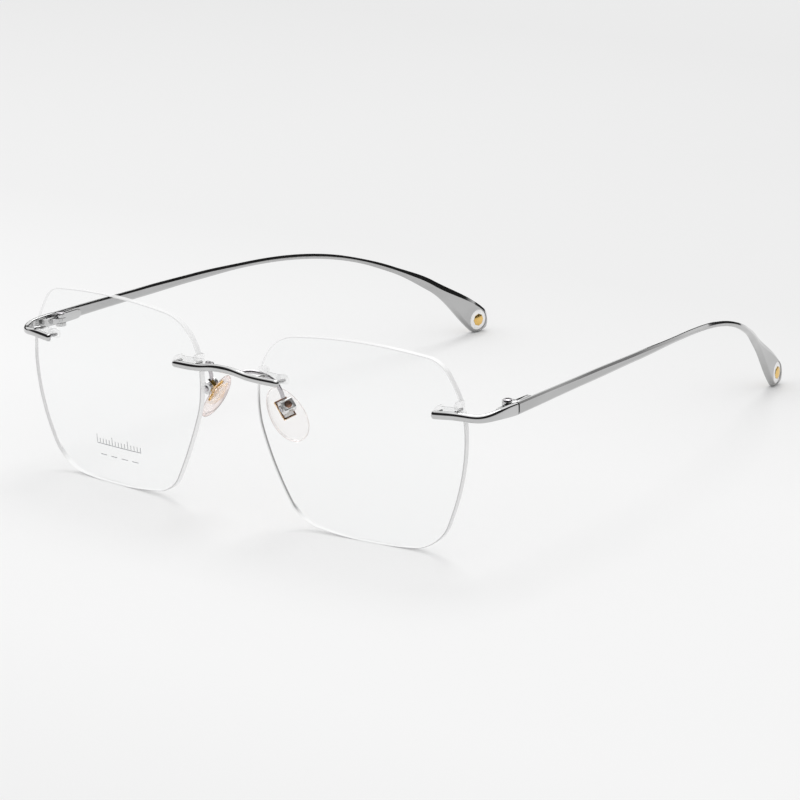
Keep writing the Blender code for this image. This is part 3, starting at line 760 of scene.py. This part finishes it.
def add_print():
    """Generic fitting marks on the right lens: a ruled line with ticks, and four dashes."""
    bm = bmesh.new()
    lens_front = -LENS_THICK / 2
    back, front = INK_LIFT

    def mark(u, v, width, height):
        """A thin bar of ink, in pieces short enough to follow the bowed lens."""
        steps = max(1, round(width))
        foot, top = v - height / 2, v + height / 2
        corners = ((foot, back), (foot, front), (top, front), (top, back))
        rings = []
        for i in range(steps + 1):
            at = u + width * (i / steps - 0.5)
            ring = [lens_place(at, w, lens_front + lift) for w, lift in corners]
            rings.append([bm.verts.new(point) for point in ring])
        for a, b in zip(rings, rings[1:]):
            for i in range(4):
                bm.faces.new((a[i], b[i], b[(i + 1) % 4], a[(i + 1) % 4]))
        bm.faces.new(rings[0])
        bm.faces.new(rings[-1][::-1])

    for i in range(RULER_LENGTH + 1):
        tall = 1.9 if i % 5 == 0 else 1.1
        mark(RULER_START - i, RULER_FOOT + tall / 2, INK_WIDTH, tall)
    mark(RULER_MIDDLE, RULER_FOOT - INK_WIDTH, RULER_LENGTH + INK_WIDTH, INK_WIDTH)
    for i in range(4):
        mark(3.8 - 3.4 * i, DASH_ROW, 2.0, INK_WIDTH)
    made = place("fitting_marks", bm, LOOKS["ink"], -1)
    finish_piece(made, "front")


# ---- bridge and pad arms

BRIDGE_Y = box("bridge")[0].y
BRIDGE_LINE = (  # x, the depth behind the front of the bridge, and z
    (0.0, 0.75, 33.85),
    (3.1, 0.78, 33.7),
    (6.1, 0.87, 33.2),
    (9.2, 1.02, 32.9),
    (12.3, 1.23, 32.78),
    (15.36, 1.49, 32.7),
)
BAR_HEIGHT = 1.6
BAR_FRONT, BAR_BACK = 0.75, 0.5  # from a bar's centre line to its crowned front and flat back
BAR_ROUND = (0.95, 0.5)  # how round its front and its back are
CAPS = [math.radians(a) for a in (15, 30, 45, 58, 70, 80, 87)]  # the rings of a bar's round end
ARM_R = 0.47
ARM_START = ((3.9, 1.65, 33.4), (5.3, 3.3, 33.55), (7.3, 5.2, 32.9))
ARM_END = ((-2.3, -1.77, 5.95), (-1.4, -0.47, 3.55), (-1.05, -0.02, 1.7))


def behind_bridge(point):
    """A point given by its depth behind the front of the bridge."""
    return Vector((point[0], BRIDGE_Y + point[1], point[2]))


def add_bridge():
    """A bar across both lenses, with round ends and its pins."""
    half = [behind_bridge(p) for p in BRIDGE_LINE]
    whole = [Vector((-p.x, p.y, p.z)) for p in half[:0:-1]] + half
    body = spline(whole, 121)
    end = half[-1]
    line = [point for point in body if end.x - abs(point.x) >= BAR_HEIGHT / 2]
    way_out = (line[-1] - line[-2]).normalized()
    radius = (end - line[-1]).length
    tail = [line[-1] + way_out * radius * math.sin(a) for a in CAPS]
    head = [Vector((-p.x, p.y, p.z)) for p in tail[::-1]]
    shares = [math.cos(a) for a in CAPS[::-1]] + [1.0] * len(line) + [math.cos(a) for a in CAPS]
    outlines = []
    for keep in shares:
        size = BAR_HEIGHT * keep, BAR_FRONT * keep, BAR_BACK * keep
        outlines.append(soft_section(*size, *BAR_ROUND))
    made = place("bridge_bar", sweep(head + line + tail, outlines), LOOKS["bar"])
    for side in (1, -1):
        carve(made, "UNION", list(mount_pins("bridge")), side)
    finish_piece(made, "front", ["bridge"], angle=50)


def pad_place(name, side):
    """A pad's screw, the turn of its arm, and the pad's axes: down, across and towards the arm."""
    screw, across = joint(f"nose_pad_rock_{name}")
    screw.x, across.x = screw.x * side, across.x * side
    _, plain = joint("nose_pad_rock_left")
    turn = Matrix.Rotation(math.atan2(across.y, across.x) - math.atan2(plain.y, plain.x), 3, "Z")
    down = turn @ PAD_DOWN
    return screw, turn, (down, across, down.cross(across).normalized())


def add_pad_arm(name, side):
    """A round wire from behind the bridge to the pad's holder."""
    screw, turn, _ = pad_place(name, side)
    line = [behind_bridge(p) for p in ARM_START] + [screw + turn @ Vector(p) for p in ARM_END]
    line = spline(line, 60)
    wire = sweep(line, [circle(ARM_R, 20)] * len(line))
    made = place(f"arm_wire_{name}", wire, LOOKS["steel"], side)
    finish_piece(made, "front", [f"pad_arm_{name}"], angle=50)


# ---- nose pads

PAD_DOWN = Vector((0.62, -0.02, -0.78)).normalized()
PAD_HALF_LENGTH, PAD_HALF_WIDTH = 6.75, 4.0
PAD_FACE, PAD_REAR = 1.35, 1.0  # from the middle plane to the face on the nose, and to the rear
SCREW_UP, SCREW_OUT = 1.2, 2.5  # where a pad's screw lies, from the middle of the pad
PLATE_SIZE = (4.6, 3.1, 0.5)
PLATE_SINK = 0.35  # below the pad's rear
POCKET_SIZE = (4.72, 3.22, 2.5)  # in the pad, round the plate
TRAY_SIZE = (3.9, 2.4, 0.24)
TAB_WIDTH, TAB_THICK, TAB_EYE_R = 1.5, 0.9, 0.8
SCREW_BORE_R = 0.42
HOLDER_R, HOLDER_HALF, HOLDER_EDGE = 1.6, 1.5, 0.18
PIT_R = 0.85
SCREW_R = 0.36
SCREW_HEAD = ((0, 0.75), (0.5, 0.74), (0.85, 0.6), (1, 0.4))
SCREW_HEAD_HEIGHT = 0.35


def pad_solid(screw, axes):
    """A crowned drop, wider towards its lower end."""
    down, across, out = axes
    middle = screw + down * SCREW_UP - out * SCREW_OUT
    rings = []
    count = 64
    for i in range(1, 28):
        angle = math.pi * (i / 28 - 0.5)
        level, keep = math.sin(angle), math.cos(angle)
        height = level * (PAD_REAR if level > 0 else PAD_FACE)
        spread = keep**0.7
        ring = []
        for k in range(count):
            a = 2 * math.pi * k / count
            drop = 1 + 0.1 * math.cos(a)
            ring.append(
                middle
                + down * PAD_HALF_LENGTH * spread * math.cos(a)
                + across * PAD_HALF_WIDTH * spread * drop * math.sin(a)
                + out * height
            )
        rings.append(ring)
    return loft(rings)


def add_nose_pad(name, side):
    """The soft pad, and the plate in its rear with a tray, a tab and an eye on the screw."""
    screw, _, axes = pad_place(name, side)
    across, out = axes[1:]
    body = f"nose_pad_{name}_body"
    plate_mid = screw - out * (SCREW_OUT - PAD_REAR + PLATE_SINK)
    pad = place(f"silicone_pad_{name}", pad_solid(screw, axes), LOOKS["silicone"], side)
    carve(pad, "DIFFERENCE", [block(plate_mid + out * 0.94, axes, POCKET_SIZE)], side)
    finish_piece(pad, body, [f"nose_pad_{name}"], angle=35)

    plate = block(plate_mid, axes, PLATE_SIZE)
    insert = place(f"pad_plate_{name}", plate, [LOOKS["foil"], LOOKS["copper"]], side)
    world_out = Vector((out.x * side, out.y, out.z))
    for face in insert.data.polygons:
        if face.normal.dot(world_out) > 0.9:
            face.material_index = 1
    tray = block(plate_mid + out * PLATE_SIZE[2] / 2, axes, TRAY_SIZE)
    carve(insert, "DIFFERENCE", [tray], side, LOOKS["pearl"])
    foot = plate_mid + out * 0.05
    tab = block((foot + screw) / 2, axes, (TAB_WIDTH, TAB_THICK, (screw - foot).length))
    eye = rod(screw - across * 0.44, screw + across * 0.44, TAB_EYE_R, 28)
    carve(insert, "UNION", [tab, eye], side)
    bore = rod(screw - across * 2, screw + across * 2, SCREW_BORE_R, 20)
    carve(insert, "DIFFERENCE", [bore], side)
    finish_piece(insert, body, [f"pad_insert_{name}"], bevel=0.05)


def add_pad_box(name, side):
    """The slotted holder that ends the arm, and its screw."""
    screw, _, axes = pad_place(name, side)
    across, out = axes[1:]
    reach = across * HOLDER_HALF
    shell = rod(screw - reach, screw + reach, HOLDER_R, 40, HOLDER_EDGE)
    made = place(f"pad_holder_{name}", shell, LOOKS["holder"], side)
    shave = [block(screw + out * sign * 2.15, axes, (5, 5, 2.0)) for sign in (1, -1)]
    slot = block(screw - out * 0.25, axes, (5.2, 1.1, 2.3))
    bore = rod(screw - across * 3, screw + across * 3, SCREW_BORE_R, 24)
    carve(made, "DIFFERENCE", shave + [slot, bore], side)
    pit = rod(screw + out * 1.0, screw + out * 1.3, PIT_R, 28)
    carve(made, "DIFFERENCE", [pit], side, LOOKS["copper"])
    finish_piece(made, "front", [f"pad_box_{name}"], bevel=0.08)

    head = screw - across * 1.56
    top = head - across * SCREW_HEAD_HEIGHT
    shank = rod(head - across * 0.12, screw + across * 1.6, SCREW_R, 20)
    pin = place(f"pad_pin_{name}", shank, LOOKS["steel"], side)
    carve(pin, "UNION", [tapered_rod(head, top, SCREW_HEAD, 28)], side)
    carve(pin, "DIFFERENCE", [block(top, axes, (2.0, 0.3, 0.16))], side)
    finish_piece(pin, "front", [f"pad_screw_{name}"])


# ---- endpieces and hinges

ENDPIECE_LINE = (  # from the hinge
    (-9.75, -13.85, 0.15),
    (-6.4, -13.3, 0.35),
    (-2.7, -12.5, 0.4),
    (0.5, -10.85, 0.1),
    (2.05, -7.85, 0.2),
    (2.35, -3.95, 0.15),
    (2.35, -0.15, 0.0),
)
ENDPIECE_NOSE = 0.5  # how much of its end is rounded
KNUCKLE_R = 1.25
BORE_R = 0.66
SHANK_R = 0.6
HINGE_HALF = 1.45  # from the middle of the hinge to its top
MIDDLE_HALF = 0.55
MIDDLE_GAP = 0.1
LEAF_START = KNUCKLE_R + 0.15
LEAF_REACH = 7.35
LEAF_HALF = 1.25
LEAF_OUTER, LEAF_INNER = 1.62, 0.3  # its sides, from the hinge axis
LEAF_CORNER = 0.3
LEAF_TOE = 0.06  # the leaf follows the temple inwards
LEAF_BEVEL = 0.13
HEAD_HEIGHT = 0.25
HEAD_STOPS = ((0, 0.97), (0.3, 1.0), (0.8, 0.98), (1, 0.9))


def add_endpiece(name, side):
    """A bar that turns from a crowned section at the lens to a squarer one at the hinge."""
    line = spline([HINGE + Vector(p) for p in ENDPIECE_LINE], 110)
    end = line[0]
    line = [point for point in line if (point - end).length >= ENDPIECE_NOSE]
    way_out = (line[0] - line[1]).normalized()
    radius = (end - line[0]).length
    head = [line[0] + way_out * radius * math.sin(a) for a in CAPS[::-1]]
    shares = [math.cos(a) for a in CAPS[::-1]] + [1.0] * len(line)
    line = head + line
    outlines = []
    for i, keep in enumerate(shares):
        t = i / (len(line) - 1)
        square = along(((0, 0), (0.45, 0), (1, 1)), t)
        height = (1.8 + 0.9 * square) * keep
        front = (BAR_FRONT - 0.15 * square) * keep
        back = (BAR_BACK + 0.1 * square) * keep
        round_front, round_back = BAR_ROUND[0] - 0.5 * square, BAR_ROUND[1] - 0.1 * square
        outlines.append(soft_section(height, front, back, round_front, round_back))
    made = place(f"end_bar_{name}", sweep(line, outlines), LOOKS["bar"], side)
    carve(made, "UNION", list(mount_pins("temple")), side)
    finish_piece(made, "front", [f"endpiece_{name}"], bevel=0.08, angle=50)


def knuckle(low, high, radius=KNUCKLE_R):
    return rod(HINGE + UP * low, HINGE + UP * high, radius, 48)


def prism(outline, low, high):
    """An upright block with an outline in (x, y) from the hinge axis."""
    return loft([[HINGE + Vector((x, y, z)) for x, y in outline] for z in (low, high)])


def add_front_leaf(name, side):
    """The middle knuckle, its web, and the plate inside the endpiece."""
    made = place(f"hinge_eye_{name}", knuckle(-MIDDLE_HALF, MIDDLE_HALF), LOOKS["bar"], side)
    end = -LEAF_START
    web = [(-0.4, -3.0), (KNUCKLE_R, -3.0), (KNUCKLE_R, 0.0), (-0.4, 0.0)]
    plate = [(0.55, -4.9), (1.3, -4.9), (1.55, end), (0.45, end)]
    joined = [prism(web, -MIDDLE_HALF, MIDDLE_HALF), prism(plate, -1.0, 0.85)]
    carve(made, "UNION", joined, side)
    carve(made, "DIFFERENCE", [knuckle(-3, 3, BORE_R)], side)
    finish_piece(made, "front", [f"hinge_front_leaf_{name}"], bevel=LEAF_BEVEL)


def add_temple_leaf(name, side):
    """The outer knuckles and the round-ended plate inside the temple."""
    rings = []
    for i in range(17):
        share = math.sin(math.pi / 2 * i / 16)
        reach = LEAF_START if i == 0 else LEAF_REACH - LEAF_HALF + LEAF_HALF * share
        tall = LEAF_HALF * math.sqrt(max(1 - (share if i else 0) ** 2, 0.02))
        outer = LEAF_OUTER - LEAF_TOE * (reach - LEAF_START)
        corner = min(LEAF_CORNER, tall * 0.6)
        ring = [(outer, -tall), (outer, tall)]
        for start, middle in ((90, tall - corner), (180, corner - tall)):
            for k in range(6):
                a = math.radians(start + 18 * k)
                x = LEAF_INNER + corner + corner * math.cos(a)
                ring.append((x, middle + corner * math.sin(a)))
        rings.append([HINGE + Vector((x, reach, z)) for x, z in ring[::-1]])
    made = place(f"hinge_leaf_{name}", loft(rings), LOOKS["bar"], side)
    root = LEAF_START + 0.05
    arm = [(0, 0), (KNUCKLE_R, 0), (1.6, 0.9), (1.6, root), (0.4, root)]
    inner = MIDDLE_HALF + MIDDLE_GAP
    joined = []
    for low, high in ((-HINGE_HALF, -inner), (inner, HINGE_HALF)):
        joined += [knuckle(low, high), prism(arm, low, high)]
    carve(made, "UNION", joined, side)
    carve(made, "DIFFERENCE", [knuckle(-3, 3, BORE_R)], side)
    nodes = [f"hinge_temple_leaf_{name}"]
    finish_piece(made, f"temple_{name}_body", nodes, bevel=LEAF_BEVEL)


def add_hinge_screw(name, side):
    """A shank through the knuckles and a flat, slotted head with a rounded edge."""
    seat = HINGE_HALF + 0.06
    shank = knuckle(-HINGE_HALF, seat + 0.1, SHANK_R)
    made = place(f"hinge_pin_{name}", shank, LOOKS["steel"], side)
    top = HINGE + UP * (seat + HEAD_HEIGHT)
    carve(made, "UNION", [tapered_rod(HINGE + UP * seat, top, HEAD_STOPS, 40)], side)
    axes = (Vector((1, 0, 0)), Vector((0, 1, 0)), UP)
    carve(made, "DIFFERENCE", [block(top, axes, (3.0, 0.28, 0.3))], side)
    finish_piece(made, "front", [f"hinge_screw_{name}"])


# ---- temples

TEMPLE_LINE = (  # from the hinge
    (2.35, 0.3, 0.0),
    (2.0, 9.55, 0.0),
    (1.4, 23.05, -0.05),
    (0.6, 41.05, -0.15),
    (-0.7, 60.05, -0.5),
    (-3.1, 77.55, -1.5),
    (-6.7, 94.55, -4.5),
    (-10.9, 109.55, -10.0),
    (-15.9, 122.55, -17.5),
    (-19.1, 135.45, -28.23),
)
TEMPLE_HEIGHTS = (  # (share of the length, height)
    (0, 2.7),
    (0.2, 2.3),
    (0.33, 1.85),
    (0.45, 1.25),
    (0.7, 1.22),
    (0.78, 1.6),
    (0.87, 2.9),
    (1, 7.0),
)
TEMPLE_THICKS = ((0, 1.2), (0.5, 1.15), (0.75, 1.25), (1, 1.85))
TEMPLE_BEVELS = ((0, 0.35), (0.33, 0.5), (0.5, 0.5), (0.8, 0.9), (0.9, 1.2), (1, 0.7))
TIP_R = 3.5
DISC_R = 2.7
DISC_HALF = 0.7  # half its thickness at the edge
DISC_CROWN = 0.32
DISC_STEP = 13  # degrees between the rings of its crown
DISC_GAP = 0.06
STUD_SHANK_R = 0.6
STUD_STOPS = ((0, 1.65), (0.45, 1.6), (1, 0.7))
STUD_RISE = 0.42


def add_temple(name, side):
    """A flat blade that droops to a round paddle, with a bored disc and a stud through it."""
    body = f"temple_{name}_body"
    line = spline([HINGE + Vector(p) for p in TEMPLE_LINE], 200)
    outlines = []
    for i in range(len(line)):
        t = i / (len(line) - 1)
        height, thick = along(TEMPLE_HEIGHTS, t), along(TEMPLE_THICKS, t)
        outlines.append(blade_section(height, thick, along(TEMPLE_BEVELS, t)))
    way = (line[-1] - line[-2]).normalized()
    across = way.cross(UP).normalized()
    middle, thick = line[-1], TEMPLE_THICKS[-1][1]
    for degrees in list(range(6, 84, 6)) + [85, 88]:
        a = math.radians(degrees)
        line.append(middle + way * TIP_R * math.sin(a))
        outlines.append(blade_section(2 * TIP_R * math.cos(a), thick, TEMPLE_BEVELS[-1][1]))
    solid = sweep(line, outlines)
    for vert in solid.verts:
        vert.co.z = max(vert.co.z, 0.0)
    made = place(f"temple_blade_{name}", solid, LOOKS["blade"], side)
    hole = rod(middle - across * 3, middle + across * 3, DISC_R + DISC_GAP, 64)
    carve(made, "DIFFERENCE", [hole], side)
    finish_piece(made, body, [f"temple_{name}"], angle=16)

    last = 6
    crown = []
    for k in range(last + 1):
        bulge = math.sin(math.radians(DISC_STEP * (last - k))) / math.sin(math.radians(78))
        crown.append((-DISC_HALF - DISC_CROWN * bulge, DISC_R * (1 - 0.93 * (last - k) / last)))
    profile = crown + [(-d, r) for d, r in crown[::-1]]
    start, end = profile[0][0], profile[-1][0]
    shares = tuple(((d - start) / (end - start), r) for d, r in profile)
    plate = tapered_rod(middle + across * start, middle + across * end, shares, 64)
    disc = place(f"pearl_disc_{name}", plate, LOOKS["pearl"], side)
    carve(disc, "DIFFERENCE", [rod(middle - across * 2, middle + across * 2, 0.66, 24)], side)
    finish_piece(disc, body, [f"tip_disc_{name}"], angle=40)

    shank = rod(middle - across * 0.9, middle + across * 0.9, STUD_SHANK_R, 24)
    stud = place(f"gold_stud_{name}", shank, LOOKS["gold"], side)
    caps = []
    for out in (across, -across):
        seat = middle + out * (DISC_HALF + 0.1)
        caps.append(tapered_rod(seat, seat + out * STUD_RISE, STUD_STOPS, 8))
    carve(stud, "UNION", caps, side)
    finish_piece(stud, body, [f"tip_stud_{name}"], bevel=0.03, angle=20)


# ---- stage


FLOOR_HALF = 4.0  # metres, as everything from here on
FLOOR_LEVEL = -0.00003
# the floor's greys: the paper's tone, darkened towards the back by painted shade
PAPER_SHARES = (0.0, 0.1, 0.29, 0.4, 0.48, 0.62, 0.87)  # of the way back, and how grey it is there
PAPER_AND_PAINTED_SHADE_GREYS = (0.85, 0.88, 0.87, 0.82, 0.78, 0.755, 0.71)
CARD_BACK = 0.42
CARD_HALF = 0.8
CARD_TOP = 0.118
AWAY = (-0.62, 0.78, 0)  # from the camera
CAMERA_PLACE = Vector((0.4974, -0.5656, 0.2485))
CAMERA_TURN = (38.49, 16.53, -1.51)  # azimuth, elevation and roll
CAMERA_LENS = 160.3


def add_sheet(name, corners, look):
    """A flat sheet of the stage, with corners in metres."""
    bm = bmesh.new()
    bm.faces.new([bm.verts.new(corner) for corner in corners])
    mesh = bpy.data.meshes.new(name)
    bm.to_mesh(mesh)
    bm.free()
    mesh.materials.append(look.material)
    sheet = bpy.data.objects.new(name, mesh)
    bpy.context.scene.collection.objects.link(sheet)
    return sheet


def add_floor():
    """Matt paper, painted a little darker towards the back as shade."""
    look = Look("pale_floor")
    mottle = look.noise((3, 3, 3), 2)
    distance = look.spread(look.split(look.coordinates)["Y"], 0, 1, -0.15, 0.6)
    # the paper's tone with painted shade towards the back
    paper = look.ramp(distance, tuple(zip(PAPER_SHARES, PAPER_AND_PAINTED_SHADE_GREYS)))
    shade = look.nodes.new("ShaderNodeMath")
    shade.operation = "MULTIPLY_ADD"
    shade.inputs[1].default_value = 0.02
    look.links.new(mottle, shade.inputs[0])
    look.links.new(paper, shade.inputs[2])
    look.link(shade.outputs["Value"], "Base Color")
    look.set(Roughness=0.9, Specular_IOR_Level=0.0)
    size = FLOOR_HALF
    corners = ((-size, -size), (size, -size), (size, size), (-size, size))
    floor = add_sheet("floor", [(x, y, FLOOR_LEVEL) for x, y in corners], look)
    floor.location = UNDER_BRIDGE


def add_card():
    """A low black card behind the glasses, seen only by the mirroring metal."""
    look = Look("black_cloth")
    weave = look.noise((300, 300, 300), 2)
    look.link(look.tint(look.spread(weave, 0, 1), grey(0.02), grey(0.04)), "Base Color")
    look.set(Roughness=0.95, Specular_IOR_Level=0.0)
    away = Vector(AWAY).normalized()
    across, middle = away.cross(UP), UNDER_BRIDGE + away * CARD_BACK
    corners = ((-1, 0.0), (1, 0.0), (1, CARD_TOP), (-1, CARD_TOP))
    card = add_sheet(
        "black_card", [middle + across * CARD_HALF * sign + UP * top for sign, top in corners], look
    )
    for ray in ("camera", "diffuse", "transmission", "shadow", "volume_scatter"):
        setattr(card, f"visible_{ray}", False)


def add_world():
    """An even white room for the eye and for the floor. Mirrored in metal it is brighter overhead,
    and dark behind the camera and to its sides."""
    world = bpy.data.worlds.new("studio")
    bpy.context.scene.world = world
    world.use_nodes = True
    tree = world.node_tree
    nodes, links = tree.nodes, tree.links
    nodes.clear()
    output = nodes.new("ShaderNodeOutputWorld")
    back = nodes.new("ShaderNodeBackground")
    coordinates = nodes.new("ShaderNodeTexCoord")
    split = nodes.new("ShaderNodeSeparateXYZ")
    links.new(coordinates.outputs["Generated"], split.inputs["Vector"])
    away = nodes.new("ShaderNodeVectorMath")
    away.operation = "DOT_PRODUCT"
    away.inputs[1].default_value = AWAY
    links.new(coordinates.outputs["Generated"], away.inputs[0])
    height = split.outputs["Z"]
    ceiling = add_ramp(tree, height, ((0.0, 0.95), (0.3, 1.0), (0.8, 1.5)))
    near_side = add_ramp(tree, away.outputs["Value"], ((0.4, 1.0), (0.62, 0.0)))
    band = add_ramp(tree, height, ((0.0, 0.0), (0.04, 1.0), (0.76, 1.0), (0.9, 0.0)))
    wall = add_mix(tree, "MULTIPLY", 1.0, near_side, band)
    studio = add_mix(tree, "MIX", wall, ceiling, grey(0.02))
    path = nodes.new("ShaderNodeLightPath")
    seen = add_mix(tree, "MIX", path.outputs["Is Glossy Ray"], grey(0.9), studio)
    links.new(seen, back.inputs["Color"])
    links.new(back.outputs["Background"], output.inputs["Surface"])


def add_light(name, place_m, target_m, size, power):
    """A round soft lamp."""
    data = bpy.data.lights.new(name, "AREA")
    data.shape = "DISK"
    data.size = size
    data.energy = power
    lamp = bpy.data.objects.new(name, data)
    lamp.location = UNDER_BRIDGE + Vector(place_m)
    lamp.rotation_euler = (Vector(target_m) - Vector(place_m)).to_track_quat("-Z", "Y").to_euler()
    bpy.context.scene.collection.objects.link(lamp)


def add_camera():
    azimuth, elevation, roll = (math.radians(a) for a in CAMERA_TURN)
    right = Vector((math.cos(azimuth), math.sin(azimuth), 0))
    level = Vector((-math.sin(azimuth), math.cos(azimuth), 0))
    forward = level * math.cos(elevation) - UP * math.sin(elevation)
    up = right.cross(forward)
    right, up = (
        right * math.cos(roll) + up * math.sin(roll),
        up * math.cos(roll) - right * math.sin(roll),
    )
    data = bpy.data.cameras.new("camera")
    data.lens = CAMERA_LENS
    data.sensor_width = 36.0
    data.clip_start = 0.01
    camera = bpy.data.objects.new("camera", data)
    turn = Matrix((right, up, -forward)).transposed().to_4x4()
    camera.matrix_world = Matrix.Translation(UNDER_BRIDGE + CAMERA_PLACE) @ turn
    bpy.context.scene.collection.objects.link(camera)
    bpy.context.scene.camera = camera


# ---- the whole

add_bridge()
for name, side in SIDES:
    add_lens(name, side)
    for kind in MOUNTS:
        add_bushing(kind, name, side)
    add_pad_arm(name, side)
    add_nose_pad(name, side)
    add_pad_box(name, side)
    add_endpiece(name, side)
    add_front_leaf(name, side)
    add_temple_leaf(name, side)
    add_hinge_screw(name, side)
    add_temple(name, side)
add_print()
add_floor()
add_card()
add_world()
add_light("key", (-0.35, 0.75, 1.1), (0, 0.05, 0), 0.6, 3.8)
add_camera()
bpy.context.scene.view_settings.view_transform = "Standard"
